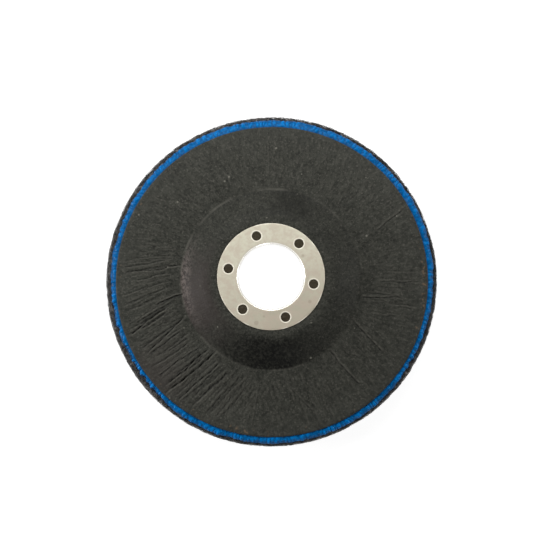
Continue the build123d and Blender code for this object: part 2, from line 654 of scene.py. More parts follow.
@dataclass(frozen=True)
class Finish:
    """Base of the finishes: a material with one surface shader and its own graph."""

    effects: SharedEffects
    name: str = "finish"

    def start(self, **fixed: float) -> tuple[Material, Graph, Node]:
        """Starts the material.

        Args:
            **fixed: Values that are the same all over, with spaces written as underscores.

        Returns:
            The material, its graph and its surface shader.
        """
        material = bpy.data.materials.new(self.name)
        material.use_nodes = True
        graph = Graph(material.node_tree)
        shader = material.node_tree.nodes["Principled BSDF"]
        for key, value in fixed.items():
            shader.inputs[key.replace("_", " ")].default_value = value
        return material, graph, shader

    def mottle(self, graph: Graph, size: float, contrast: float) -> NodeSocket:
        """Soft uneven tone from 0 to 1, with clouds of about the size, in metres."""
        inputs = {"Size": size, "Contrast": contrast}
        return graph.add("ShaderNodeGroup", inputs, node_tree=self.effects.mottle).outputs[0]

    def specks(self, graph: Graph, spacing: float, amount: float) -> NodeSocket:
        """Scattered specks, from 0 to 1, with their spacing in metres and the share of them that shows."""
        inputs = {"Spacing": spacing, "Amount": amount}
        return graph.add("ShaderNodeGroup", inputs, node_tree=self.effects.specks).outputs[0]

    def patch(self, graph: Graph, patch: Patch) -> NodeSocket:
        """A ragged patch, from 0 to 1."""
        inputs = {"X": patch.x, "Y": patch.y, "Reach": patch.reach}
        return graph.add("ShaderNodeGroup", inputs, node_tree=self.effects.patch).outputs[0]


@dataclass(frozen=True)
class LaminateFinish(Finish):
    """Black resin over glass cloth: matt satin and mottled, with painted shade and grime in the creases,
    painted highlights on their lips and along the hub's foot, and painted shade on the hub's lower slope and
    the flat towards the lower right.
    """

    name: str = "black_laminate"
    dark: Shade = linear(22, 23, 20)
    pale: Shade = linear(69, 69, 63)
    crease_shade_and_grime: Shade = linear(7, 7, 7)
    pale_wear_and_highlight: Shade = linear(108, 106, 98)
    rim_tint: Shade = linear(67, 68, 64)
    frayed: Shade = linear(98, 84, 70)
    speck: Shade = linear(128, 126, 116)
    rosy: Shade = linear(60, 54, 52)
    dust_and_highlight: Shade = linear(106, 98, 94)
    resin_and_shade: Shade = linear(8, 8, 7)
    plug: Shade = linear(58, 50, 36)
    hub_foot: float = 31.4 * MM
    slope_top: float = 21.0 * MM
    plug_reach: float = 17.2 * MM
    plug_foot: float = 17.4 * MM
    weave_pitch: float = 1.15 * MM
    weave_turn: float = 0.5
    cloud_size: float = 9.0 * MM
    blotch_size: float = 2.6 * MM
    fine_size: float = 0.95 * MM
    streak_length: float = 2.6 * MM
    tick_length: float = 1.5 * MM
    pale_rim: float = 11 * MM
    frayed_half: float = 1.3 * MM
    rosy_flank: Patch = Patch(-27 * MM, -7 * MM, 24 * MM)
    rosy_flat: Patch = Patch(-39 * MM, -34 * MM, 17 * MM)
    lit_dusty_foot: Patch = Patch(-31 * MM, -2 * MM, 20 * MM)
    shaded_lower_slope: Patch = Patch(-0.5 * MM, -29.5 * MM, 23 * MM)
    lit_worn_seam: Patch = Patch(-16 * MM, 15 * MM, 92 * MM)
    dark_upper_slope: Patch = Patch(7.4 * MM, 26.5 * MM, 13 * MM)
    shaded_flat: Patch = Patch(32 * MM, -30 * MM, 76 * MM)
    bare_rim: tuple[Patch, ...] = (Patch(54 * MM, -6 * MM, 24 * MM), Patch(-11 * MM, -52 * MM, 16 * MM))

    def plain_tone(self, graph: Graph, radius: NodeSocket, fine: NodeSocket, rim_radius: float) -> NodeSocket:
        """Mottles the resin in fine radial grain, paler towards the rim.

        Args:
            graph: The material's graph.
            radius: Distance from the bore's axis.
            fine: A fine mottle from 0 to 1.
            rim_radius: Radius of the plate's rim.

        Returns:
            The plain tone.
        """
        streak = graph.stretch(graph.streaks(0.011, self.streak_length), 0.3, 0.7)
        blotch = self.mottle(graph, self.blotch_size, 2.6)
        share = graph.product(self.mottle(graph, self.cloud_size, 1.8), 0.2)
        for layer, weight in ((fine, 0.42), (streak, 0.2), (blotch, 0.18)):
            share = graph.math("MULTIPLY_ADD", layer, weight, share)
        colour = graph.blend(share, self.dark, self.pale)
        rim = graph.stretch(radius, rim_radius - self.pale_rim, rim_radius)
        colour = graph.lay(colour, self.rim_tint, rim, 0.22)
        tick = graph.stretch(graph.streaks(0.016, self.tick_length), 0.62, 0.76)
        dot = graph.stretch(graph.noise(1500.0, 1.0), 0.6, 0.72)
        return graph.lay(colour, self.pale_wear_and_highlight, graph.math("MAXIMUM", tick, dot), 0.3)

    def worn_and_shaded(
        self, graph: Graph, colour: NodeSocket, radius: NodeSocket, fine: NodeSocket
    ) -> NodeSocket:
        """Lays a pale dusting and rosy tints over the plain tone, with painted highlights at the hub's foot,
        painted shade on its lower slope and on the flat towards the lower right, and darker patches, most of
        it where the hub rises.

        Args:
            graph: The material's graph.
            colour: The plain tone.
            radius: Distance from the bore's axis.
            fine: A fine mottle from 0 to 1.

        Returns:
            The worn colour, with painted light and shade.
        """
        hub = graph.stretch(radius, self.hub_foot + 0.25 * MM, self.hub_foot - 0.25 * MM)
        below_top = graph.stretch(radius, self.slope_top - 1.5 * MM, self.slope_top + 1.0 * MM)
        slope = graph.product(hub, below_top)
        foot_band = graph.stretch(radius, self.hub_foot - 4.5 * MM, self.hub_foot - 1.5 * MM)
        # A pale dusting with a painted highlight on the hub's left foot.
        lit_dust = graph.product(self.patch(graph, self.lit_dusty_foot), hub, foot_band)
        # Painted shade over the hub's lower slope.
        lower_slope_shade = graph.product(self.patch(graph, self.shaded_lower_slope), slope)
        # Painted highlight, with worn spots, along the hub's foot, strongest at the upper left.
        seam_highlight = graph.product(graph.line(radius, self.hub_foot, 0.6 * MM), self.patch(graph, self.lit_worn_seam))
        broken = graph.stretch(graph.noise(95.0, 3.0), 0.4, 0.64)
        # Darkens the whole slope a little.
        colour = graph.lay(colour, self.resin_and_shade, slope, 0.19)
        colour = graph.lay(colour, self.rosy, self.patch(graph, self.rosy_flank), slope, 0.75)
        colour = graph.lay(colour, self.dust_and_highlight, lit_dust, graph.stretch(fine, 0.1, 1.0), 0.9)
        colour = graph.lay(colour, self.rosy, self.patch(graph, self.rosy_flat), 0.45)
        colour = graph.lay(colour, self.resin_and_shade, lower_slope_shade, graph.math("MULTIPLY_ADD", fine, -0.7, 1.2))
        colour = graph.lay(colour, self.pale_wear_and_highlight, seam_highlight, broken, graph.math("SUBTRACT", 1.0, lower_slope_shade), 0.42)
        # A darker patch on the hub's upper right slope.
        colour = graph.lay(colour, self.resin_and_shade, self.patch(graph, self.dark_upper_slope), slope, 0.4)
        flat = graph.math("SUBTRACT", 1.0, hub)
        # Painted shade over the flat towards the lower right.
        return graph.lay(colour, self.resin_and_shade, self.patch(graph, self.shaded_flat), flat, 0.15)

    def marks(self, graph: Graph, colour: NodeSocket, radius: NodeSocket, rim_radius: float) -> NodeSocket:
        """Adds the brown plugs, the frayed rim, painted shade and grime in the creases and painted highlights
        on their lips, and specks.

        Args:
            graph: The material's graph.
            colour: The worn colour, with painted light and shade.
            radius: Distance from the bore's axis.
            rim_radius: Radius of the plate's rim.

        Returns:
            The final colour.
        """
        plug = graph.stretch(radius, self.plug_reach + 0.2 * MM, self.plug_reach)
        back = graph.stretch(graph.height(), self.plug_foot - 0.5 * MM, self.plug_foot)
        colour = graph.lay(colour, self.plug, plug, back, 0.7)
        edge = graph.line(radius, rim_radius - self.frayed_half, self.frayed_half)
        bare = graph.noise(620.0)
        for patch in self.bare_rim:
            bare = graph.math("MULTIPLY_ADD", self.patch(graph, patch), 0.12, bare)
        colour = graph.lay(colour, self.frayed, edge, graph.stretch(bare, 0.66, 0.76), 0.85)
        # Painted highlight on the creases' lips.
        colour = graph.lay(colour, self.pale_wear_and_highlight, graph.attribute("lip"), 0.4)
        shade_and_grime = graph.stretch(graph.attribute("crease"), 0.12, 0.75)
        # Painted shade and grime in the creases' grooves.
        colour = graph.lay(colour, self.crease_shade_and_grime, shade_and_grime, 0.85)
        return graph.lay(colour, self.speck, self.specks(graph, 1.5 * MM, 0.03), 0.6)

    def relief(self, graph: Graph) -> NodeSocket:
        """Lays grain over small blobs over the weave.

        Args:
            graph: The material's graph.

        Returns:
            The normal's socket.
        """
        inputs = {"Pitch": self.weave_pitch, "Turn": self.weave_turn}
        weave = graph.add("ShaderNodeGroup", inputs, node_tree=self.effects.weave)
        woven = graph.bump(weave.outputs[0], 0.5, 0.05 * MM)
        blobs = graph.bump(graph.noise(1050.0), 0.7, 0.16 * MM, woven)
        return graph.bump(graph.noise(5200.0), 0.5, 0.03 * MM, blobs)

    def material(self, rim_radius: float) -> Material:
        """Builds the material.

        Args:
            rim_radius: Radius of the plate's rim, towards which it pales.

        Returns:
            The material.
        """
        material, graph, shader = self.start(Specular_IOR_Level=0.06)
        radius = graph.radius()
        fine = self.mottle(graph, self.fine_size, 3.6)
        colour = self.plain_tone(graph, radius, fine, rim_radius)
        colour = self.worn_and_shaded(graph, colour, radius, fine)
        graph.feed(
            shader,
            Base_Color=self.marks(graph, colour, radius, rim_radius),
            Roughness=graph.math("MULTIPLY_ADD", fine, 0.16, 0.46),
            Normal=self.relief(graph),
        )
        return material


@dataclass(frozen=True)
class TinplateFinish(Finish):
    """Tinned sheet steel: warm pale grey with faint stains and fine handling marks, painted shade towards its
    lower side, painted highlights on its hole lips and sheared rim, and a painted reflection on the bend by
    the bore.
    """

    name: str = "tinned_steel"
    clean: Shade = linear(181, 178, 160)
    stain_and_shade: Shade = linear(157, 151, 134)
    tint: Shade = linear(170, 155, 142)
    mark: Shade = linear(108, 100, 86)
    edge_highlight: Shade = linear(226, 221, 206)
    bend_reflection: Shade = linear(246, 244, 238)
    cloud_size: float = 8 * MM
    blotch_size: float = 2.6 * MM
    speck_spacing: float = 2.6 * MM
    shaded_side: Patch = Patch(8 * MM, -18 * MM, 34 * MM)
    rolling_scale: tuple[float, float, float] = (300.0, 9000.0, 300.0)

    def lips(self, graph: Graph, ring: "HubRing") -> NodeSocket:
        """Where highlights are painted: on the lips round the punched holes and along the sheared rim.

        Args:
            graph: The material's graph.
            ring: The ring that it is for.

        Returns:
            A mask from 0 to 1.
        """
        holes = ring.layout.holes
        axes = graph.axes()
        turn = graph.math("ARCTAN2", axes["Y"], axes["X"])
        half = math.pi / holes.count
        folded = graph.math("WRAP", graph.math("SUBTRACT", turn, holes.first_angle), half, -half)
        radius = graph.radius()
        out = graph.product(radius, graph.math("COSINE", folded))
        along = graph.math("SUBTRACT", out, holes.circle_radius)
        away = graph.length(along, graph.product(radius, graph.math("SINE", folded)))
        hole_lip = graph.line(away, ring.hole_radius + 0.2 * MM, 0.3 * MM)
        rim_lip = graph.line(radius, ring.layout.ring_radius - 0.1 * MM, 0.28 * MM)
        broken = graph.product(rim_lip, graph.stretch(graph.noise(420.0), 0.45, 0.65))
        return graph.math("MAXIMUM", hole_lip, broken)

    def material(self, ring: "HubRing") -> Material:
        """Builds the material.

        Args:
            ring: The ring that it is for.

        Returns:
            The material.
        """
        material, graph, shader = self.start()
        cloud = graph.product(self.mottle(graph, self.cloud_size, 2.2), 0.3)
        # Painted shade towards the ring's lower side, over its stains.
        stain_and_shade_share = graph.math("MULTIPLY_ADD", self.patch(graph, self.shaded_side), 1.1, cloud)
        small = self.mottle(graph, self.blotch_size, 4.0)
        colour = graph.blend(graph.stretch(stain_and_shade_share, 0.0, 1.0), self.clean, self.stain_and_shade)
        colour = graph.lay(colour, self.tint, small, 0.45)
        colour = graph.lay(colour, self.mark, self.specks(graph, self.speck_spacing, 0.16), 0.3)
        # Painted highlights on the hole lips and the sheared rim.
        colour = graph.lay(colour, self.edge_highlight, self.lips(graph, ring), 0.7)
        polished_bend = graph.stretch(graph.radius(), ring.flat_inner - 0.12 * MM, ring.flat_inner - 0.42 * MM)
        plain = graph.math("MULTIPLY_ADD", small, 0.14, 0.5)
        calm = graph.math("MULTIPLY_ADD", polished_bend, -0.33, 0.35)
        waves = graph.bump(graph.noise(420.0), calm, 0.03 * MM)
        rolled = graph.add("ShaderNodeMapping", {"Vector": graph.place(), "Scale": self.rolling_scale})
        lines = graph.noise(1.0, place=rolled.outputs[0])
        graph.feed(
            shader,
            # Painted reflection of the white floor on the polished bend.
            Base_Color=graph.lay(colour, self.bend_reflection, polished_bend),
            Metallic=graph.math("MULTIPLY_ADD", polished_bend, 0.6, 0.4),
            Roughness=graph.math("MULTIPLY_ADD", polished_bend, -0.3, plain),
            Normal=graph.bump(lines, 0.2, 0.006 * MM, waves),
        )
        return material


@dataclass(frozen=True)
class AdhesiveFinish(Finish):
    """Cured blue adhesive: glossy on its lumps, with painted shade in its hollows and along its edges."""

    name: str = "blue_adhesive"
    lump: Shade = linear(0, 115, 190)
    hollow_shade: Shade = linear(0, 26, 56)
    cloud_size: float = 3 * MM

    def material(self) -> Material:
        """Builds the material.

        Returns:
            The material.
        """
        material, graph, shader = self.start(Specular_IOR_Level=0.045, Coat_Roughness=0.12, Coat_Weight=0.03)
        tone = self.mottle(graph, self.cloud_size, 1.4)
        # The lump tone holds painted shade in the hollows and at the edges, and painted light by angle.
        lump = graph.product(graph.attribute("lump"), 0.75)
        share = graph.math("ADD", lump, graph.product(tone, 0.25))
        graph.feed(
            shader,
            Base_Color=graph.blend(share, self.hollow_shade, self.lump),
            Roughness=graph.math("MULTIPLY_ADD", tone, 0.2, 0.24),
            Normal=graph.bump(graph.noise(1900.0, 3.0), 0.5, 0.07 * MM),
        )
        return material


@dataclass(frozen=True)
class FleeceFinish(Finish):
    """Dark bonded fibres with grit, dull and uneven, darker towards the right."""

    name: str = "dark_fleece"
    deep: Shade = linear(10, 10, 10)
    fibre: Shade = linear(132, 128, 124)
    grit: Shade = linear(128, 122, 114)
    cloud_size: float = 2.4 * MM
    grit_spacing: float = 0.9 * MM
    darker_right: Patch = Patch(54 * MM, 14 * MM, 66 * MM)

    def material(self) -> Material:
        """Builds the material.

        Returns:
            The material.
        """
        material, graph, shader = self.start(Specular_IOR_Level=0.35, Sheen_Weight=0.12)
        tone = self.mottle(graph, self.cloud_size, 2.4)
        share = graph.math("MULTIPLY_ADD", graph.attribute("strand"), 0.75, graph.product(tone, 0.25))
        colour = graph.blend(share, self.deep, self.fibre)
        colour = graph.lay(colour, self.grit, self.specks(graph, self.grit_spacing, 0.12), 0.6)
        graph.feed(
            shader,
            # Darker towards the right.
            Base_Color=graph.lay(colour, self.deep, self.patch(graph, self.darker_right), 0.75),
            Roughness=graph.math("MULTIPLY_ADD", tone, 0.2, 0.6),
            Normal=graph.bump(graph.noise(2600.0, 5.0), 0.8, 0.2 * MM),
        )
        return material


@dataclass(frozen=True)
class AnchorHoles:
    """The circle of holes that anchors the ring: a radius in metres and an angle in radians."""

    count: int = 6
    circle_radius: float = 14.6825 * MM
    first_angle: float = math.radians(49.7)

    def angles(self) -> list[float]:
        """Angle of each hole about the bore, in radians."""
        return [self.first_angle + 2 * math.pi * index / self.count for index in range(self.count)]


@dataclass(frozen=True)
class Layout:
    """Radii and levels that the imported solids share, in metres."""

    disc_radius: float
    pad_top: float
    plate_radius: float
    bond_top: float
    ring_radius: float
    ring_back: float
    collar_end: float
    pad_hole_radius: float = 30.0 * MM
    sheet: float = 0.5 * MM
    holes: AnchorHoles = AnchorHoles()

    @classmethod
    def from_frame(cls) -> "Layout":
        """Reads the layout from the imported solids' boxes."""
        pad, plate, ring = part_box("fleece_pad"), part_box("backing_plate"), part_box("hub_ring")
        return cls(
            disc_radius=pad[1][0],
            pad_top=pad[1][2],
            plate_radius=plate[1][0],
            bond_top=plate[0][2],
            ring_radius=ring[1][0],
            ring_back=ring[1][2],
            collar_end=ring[0][2],
        )


@dataclass(frozen=True)
class CreaseFan:
    """A run of neighbouring creases: angles in degrees, lengths in metres."""

    first_place: float
    last_place: float
    first_heading: float
    last_heading: float
    count: int
    longest: float
    depth: float
    width: float = 0.24 * MM
    middle: float = 42.8 * MM

    @classmethod
    def single(cls, place: float, heading: float, *sizes: float) -> "CreaseFan":
        """One crease on its own.

        Args:
            place: Its angle about the bore, in degrees.
            heading: Its heading, in degrees.
            *sizes: Its length and depth, then its width and its distance from the bore where those
                aren't the usual ones.

        Returns:
            A fan of one crease.
        """
        return cls(place, place, heading, heading, 1, *sizes)


@dataclass
class Crease:
    """One crease in the plate's back."""

    centre: Array
    heading: float
    length: float
    depth: float
    width: float
    wander: float
    phase: float
    lip_side: float

    def near(self, x: Array, y: Array) -> Array:
        """Numbers of the places that the crease can reach, from their X and Y in metres."""
        distance = np.hypot(x - self.centre[0], y - self.centre[1])
        return np.flatnonzero(distance < 0.55 * self.length + 1.5 * MM)

    def relief(self, x: Array, y: Array) -> tuple[Array, Array, Array]:
        """Height, painted shade and grime, and painted highlight that the crease gives each place.

        Args:
            x: Places along X, in metres.
            y: Places along Y, in metres.

        Returns:
            Height in metres, and two masks from 0 to 1: how deep in the crease and how high on its lip
            a place lies.
        """
        east, north = x - self.centre[0], y - self.centre[1]
        ahead, aside = math.cos(self.heading), math.sin(self.heading)
        along = east * ahead + north * aside
        across = north * ahead - east * aside
        bend = 2 * math.pi * along / self.length
        sway = np.sin(1.3 * bend + self.phase) + 0.35 * np.sin(4.1 * bend + 2 * self.phase)
        jog = np.tanh(9 * np.sin(2.3 * bend + 3 * self.phase))
        across -= self.wander * (sway + 0.45 * jog)
        fade = 1 - smooth_step(np.abs(along), 0.34 * self.length, 0.5 * self.length)
        fade *= 0.75 + 0.25 * np.sin(6.7 * bend + self.phase)
        groove = np.exp(-((across / self.width) ** 2)) * fade
        offset = across - self.lip_side * 1.9 * self.width
        lip = np.exp(-((offset / (1.25 * self.width)) ** 2)) * fade
        return self.depth * (0.55 * lip - groove), groove, lip


@dataclass
class BackingPlate(SubAssembly):
    """Moulded plate: raised hub, creased cloth back and a plain front."""

    node: ClassVar[str] = "backing_plate"
    slot: ClassVar[str] = "laminate"
    layout: Layout
    thickness: float = 2.4 * MM
    hub_rise: float = 5.2 * MM
    hub_ledge: float = 1.25 * MM
    slope: float = math.radians(31)
    shoulder_radius: float = 8.7 * MM
    foot_radius: float = 2.6 * MM
    rim_round: float = 0.45 * MM
    ring_proud: float = 0.3 * MM
    pocket_lip: float = 0.12 * MM
    front_flat: float = 44 * MM
    nut_seat: float = 15 * MM
    crease_inner: float = 33.0 * MM
    crease_margin: float = 0.9 * MM
    bore_radius: float = 11.645 * MM
    pocket_gap: float = 0.03 * MM
    bore_relief: float = 0.23 * MM
    # Crease depth at which the groove gets its full painted shade and grime.
    full_shade_and_grime: float = 0.34 * MM
    fine_columns: int = 1440
    hub_columns: int = 720
    front_columns: int = 360
    flat_step: float = 0.54 * MM
    hub_step: float = 0.62 * MM
    front_step: float = 1.6 * MM
    waviness: tuple[Ripple, ...] = (
        Ripple(0.035 * MM, 14 * MM, 5),
        Ripple(0.016 * MM, 4.5 * MM, 6),
        Ripple(0.011 * MM, 1.9 * MM, 7, 60),
    )
    main_fans: tuple[CreaseFan, ...] = (
        CreaseFan(169.0, 192.0, 185.0, 208.0, 12, 19 * MM, 0.16 * MM, 0.28 * MM),
        CreaseFan(194.5, 226.0, 211.0, 217.0, 16, 22 * MM, 0.27 * MM, 0.30 * MM),
        CreaseFan(228.5, 253.0, 217.5, 229.0, 13, 22 * MM, 0.30 * MM, 0.30 * MM),
        CreaseFan(256.0, 262.0, 236.0, 255.0, 3, 18 * MM, 0.14 * MM),
        CreaseFan.single(284.0, 314.0, 13 * MM, 0.09 * MM),
        CreaseFan.single(309.0, 311.8, 18 * MM, 0.19 * MM, 0.26 * MM, 39.6 * MM),
        CreaseFan.single(329.0, 312.5, 19 * MM, 0.20 * MM, 0.26 * MM, 37.8 * MM),
        CreaseFan(342.0, 362.0, 351.0, 362.0, 9, 14 * MM, 0.17 * MM, 0.28 * MM),
        CreaseFan.single(26.5, 40.0, 16 * MM, 0.17 * MM, 0.26 * MM, 46.4 * MM),
        CreaseFan.single(91.0, 93.0, 15 * MM, 0.08 * MM),
    )
    fine_fans: tuple[CreaseFan, ...] = (
        CreaseFan(162.0, 200.0, 182.0, 212.0, 60, 9 * MM, 0.08 * MM, 0.32 * MM),
        CreaseFan(200.0, 262.0, 211.0, 234.0, 100, 13 * MM, 0.07 * MM, 0.34 * MM),
        CreaseFan(334.0, 368.0, 342.0, 364.0, 44, 7 * MM, 0.065 * MM, 0.32 * MM),
        CreaseFan(8.0, 162.0, 20.0, 170.0, 150, 5 * MM, 0.05 * MM, 0.34 * MM),
        CreaseFan(262.0, 334.0, 280.0, 322.0, 80, 6 * MM, 0.055 * MM, 0.34 * MM),
    )
    deep_creases: tuple[CreaseFan, ...] = (
        CreaseFan.single(199.2, 217.0, 18 * MM, 0.44 * MM, 0.26 * MM, 44.8 * MM),
        CreaseFan.single(191.5, 202.0, 12 * MM, 0.36 * MM, 0.24 * MM, 35.8 * MM),
        CreaseFan.single(174.0, 192.0, 11 * MM, 0.30 * MM, 0.24 * MM, 36.2 * MM),
        CreaseFan.single(176.8, 183.0, 11 * MM, 0.26 * MM, 0.24 * MM, 46.2 * MM),
        CreaseFan.single(230.1, 219.2, 25 * MM, 0.52 * MM, 0.28 * MM, 42.0 * MM),
        CreaseFan.single(226.9, 220.5, 21 * MM, 0.42 * MM, 0.26 * MM, 42.0 * MM),
        CreaseFan.single(208.4, 225.0, 20 * MM, 0.30 * MM, 0.26 * MM, 41.0 * MM),
        CreaseFan.single(350.0, 360.0, 16 * MM, 0.22 * MM, 0.24 * MM, 38.5 * MM),
    )

    @property
    def plate_back(self) -> float:
        """Level of the back's flat."""
        return self.layout.bond_top + self.thickness

    @property
    def ring_seat(self) -> float:
        """Level of the pocket's floor, under the ring's flange."""
        return self.layout.ring_back - self.layout.sheet

    def side_profile(
        self, level: float, shoulder: float, foot: float, step: float
    ) -> list[tuple[float, float]]:
        """Radius and height down one side, from the hub's flat to the end of its foot.

        Args:
            level: Level of the hub's flat on this side.
            shoulder: Radius of the shoulder's arc.
            foot: Radius of the foot's arc.
            step: Distance between points.

        Returns:
            Points from the hub outwards.
        """
        start = self.layout.ring_radius + self.hub_ledge
        run = self.shoulder_radius + self.foot_radius
        level_share, plumb_share = math.cos(self.slope), math.sin(self.slope)
        length = (self.hub_rise - run * (1 - level_share)) / plumb_share
        points = []
        for turn in np.linspace(0, self.slope, max(3, round(shoulder * self.slope / step) + 1)):
            points.append((start + shoulder * math.sin(turn), level - shoulder * (1 - math.cos(turn))))
        radius, height = points[-1]
        for share in np.linspace(0, 1, max(2, round(length / step) + 1))[1:]:
            reach = share * length
            points.append((radius + reach * level_share, height - reach * plumb_share))
        radius, height = points[-1]
        for turn in np.linspace(0, self.slope, max(3, round(foot * self.slope / step) + 1))[1:]:
            across = plumb_share - math.sin(self.slope - turn)
            down = math.cos(self.slope - turn) - level_share
            points.append((radius + foot * across, height - foot * down))
        return points

    def rings(self) -> list[Ring]:
        """Lays the rings of the whole skin, from the pocket over the back and rim to the front and bore.

        Returns:
            The rings in order.
        """
        hub_back = self.layout.ring_back - self.ring_proud
        hub_front = hub_back - self.thickness
        pocket = self.layout.ring_radius + self.pocket_gap
        back = self.side_profile(hub_back, self.shoulder_radius, self.foot_radius, self.hub_step)
        lip = self.pocket_lip
        rings = [
            Ring(pocket, self.ring_seat, self.hub_columns),
            Ring(pocket, hub_back - lip, self.hub_columns),
            Ring(pocket + 0.3 * lip, hub_back - 0.3 * lip, self.hub_columns),
            Ring(pocket + lip, hub_back, self.hub_columns),
            Ring(pocket + 0.55 * self.hub_ledge, hub_back, self.hub_columns),
        ]
        fine_from = back[-1][0] - 1.6 * MM
        for radius, height in back:
            columns = self.fine_columns if radius > fine_from else self.hub_columns
            rings.append(Ring(radius, height, columns))
        flat_end = self.layout.plate_radius - self.rim_round
        steps = round((flat_end - back[-1][0]) / self.flat_step)
        for radius in np.linspace(back[-1][0], flat_end, steps + 1)[1:]:
            rings.append(Ring(float(radius), self.plate_back, self.fine_columns))
        for turn in np.linspace(0, math.pi / 2, 4)[1:]:
            out = flat_end + self.rim_round * math.sin(turn)
            down = self.plate_back - self.rim_round * (1 - math.cos(turn))
            rings.append(Ring(out, down, self.fine_columns))
        rings.append(Ring(self.layout.plate_radius, self.layout.bond_top, self.front_columns))
        shoulder, foot = self.shoulder_radius - self.thickness, self.foot_radius + self.thickness
        front = self.side_profile(hub_front, shoulder, foot, self.front_step)
        places = [
            (self.front_flat, self.layout.bond_top),
            *reversed(front),
            (self.nut_seat, hub_front),
            (self.bore_radius, hub_front),
            (self.bore_radius, self.ring_seat - self.bore_relief),
            (self.bore_radius + self.bore_relief, self.ring_seat),
        ]
        rings += [Ring(radius, height, self.front_columns) for radius, height in places]
        return rings

    def creases(self) -> list[Crease]:
        """Spreads the creases over their fans, with a little disorder in each fan of more than two.

        Returns:
            Every crease.
        """
        rng = np.random.default_rng(41)
        room = self.layout.plate_radius - self.crease_margin - self.crease_inner
        found = []
        for fan in (*self.deep_creases, *self.main_fans, *self.fine_fans):
            loose = fan.count > 2
            for index in range(fan.count):
                share = index / max(1, fan.count - 1)
                share += (rng.uniform(-0.5, 0.5) if loose else 0.0) / max(1, fan.count - 1)
                place = math.radians(fan.first_place + share * (fan.last_place - fan.first_place))
                heading = math.radians(fan.first_heading + share * (fan.last_heading - fan.first_heading))
                length = fan.longest * (1 - 0.45 * rng.uniform() * loose)
                slack = max(0.0, (room - length) / 2)
                middle = fan.middle + slack * rng.uniform(-1, 1) * loose
                crease = Crease(
                    centre=on_circle(middle, place),
                    heading=heading + rng.normal(0, math.radians(1.6)) * loose,
                    length=length,
                    depth=fan.depth * (rng.uniform(0.2, 1.0) if loose else 1.0),
                    width=fan.width * (rng.uniform(0.7, 1.1) if loose else 1.0),
                    wander=rng.uniform(0.04, 0.2) * MM,
                    phase=rng.uniform(0, 2 * math.pi),
                    lip_side=1.0 if rng.uniform() < 0.75 else -1.0,
                )
                found.append(crease)
        return found

    def skin(self) -> tuple[TurnedSkin, dict[str, Array]]:
        """The plate's skin with its creases and unevenness, and where its creases get painted shade and
        grime, and their lips painted highlights.

        Returns:
            The skin, and two named masks with one value from 0 to 1 for each of its points.
        """
        skin = TurnedSkin(self.rings())
        back_rows = [i for i, ring in enumerate(skin.rings) if ring.columns != self.front_columns]
        back = skin.rows <= back_rows[-1]
        radii = skin.radii()
        open_back = smooth_step(radii, self.layout.ring_radius + 0.4 * MM, self.layout.ring_radius + 2 * MM)
        open_back = open_back * (1 - smooth_step(radii, 53.3 * MM, 53.9 * MM)) * back
        flat = smooth_step(radii, 28.5 * MM, self.crease_inner)
        x, y = skin.points[:, 0], skin.points[:, 1]
        lift, shade_and_grime, lip_highlight = np.zeros(len(x)), np.zeros(len(x)), np.zeros(len(x))
        for crease in self.creases():
            near = crease.near(x, y)
            rise, deep, high = crease.relief(x[near], y[near])
            strength = min(1.0, math.sqrt(crease.depth / self.full_shade_and_grime))
            lift[near] += rise
            # Painted shade and grime in the groove.
            shade_and_grime[near] = np.maximum(shade_and_grime[near], deep * strength)
            # Painted highlight on the crease's lip.
            lip_highlight[near] = np.maximum(lip_highlight[near], high * strength)
        lift *= flat
        for ripple in self.waviness:
            lift += ripple.at(skin.points[:, :2])
        skin.points[:, 2] += lift * open_back
        return skin, {"crease": shade_and_grime * flat * open_back, "lip": lip_highlight * flat * open_back}

    def build(self, material: Material) -> list[Object]:
        """Builds the plate.

        Args:
            material: The laminate.

        Returns:
            The plate's piece.
        """
        skin, masks = self.skin()
        return [make_piece("backing_plate_skin", skin.points, skin.faces(), material, tones=masks)]


@dataclass
class AnchorPlugs(SubAssembly):
    """Resin that fills the ring's holes, a little sunk and rough."""

    node: ClassVar[str] = "backing_plate"
    slot: ClassVar[str] = "laminate"
    layout: Layout
    plug_radius: float = 1.58 * MM
    sunk: float = 0.13 * MM
    edge_drop: float = 0.05 * MM
    roughness: float = 0.03 * MM
    grain: float = 1.3 * MM
    rows: int = 7
    columns: int = 40

    def plug(self, index: int, angle: float) -> tuple[Array, Faces]:
        """Shapes one plug.

        Args:
            index: Number of its hole.
            angle: Its hole's angle about the bore, in radians.

        Returns:
            Points and faces.
        """
        top = self.layout.ring_back - self.sunk
        floor = self.layout.ring_back - self.layout.sheet
        rings = [Ring(self.plug_radius, level, self.columns) for level in (floor, top - self.edge_drop)]
        for share in np.linspace(0.94, 0.06, self.rows):
            rings.append(Ring(self.plug_radius * share, top, self.columns))
        skin = TurnedSkin(rings)
        rough = ripple_noise(skin.points + index, self.grain, 60 + index)
        skin.points[:, 2] += np.where(skin.rows >= 2, self.roughness * rough, 0)
        first, last = skin.starts[0], skin.starts[-2]
        faces = skin.faces(closed=False)
        faces.append(tuple(last + column for column in range(self.columns)))
        faces.append(tuple(first + column for column in reversed(range(self.columns))))
        middle = on_circle(self.layout.holes.circle_radius, angle)
        return skin.points + [*middle, 0], faces

    def build(self, material: Material) -> list[Object]:
        """Builds the plugs as one piece.

        Args:
            material: The laminate.

        Returns:
            The plugs' piece.
        """
        parts = [self.plug(index, angle) for index, angle in enumerate(self.layout.holes.angles())]
        points, faces = join_parts(parts)
        return [make_piece("anchor_plugs", points, faces, material)]


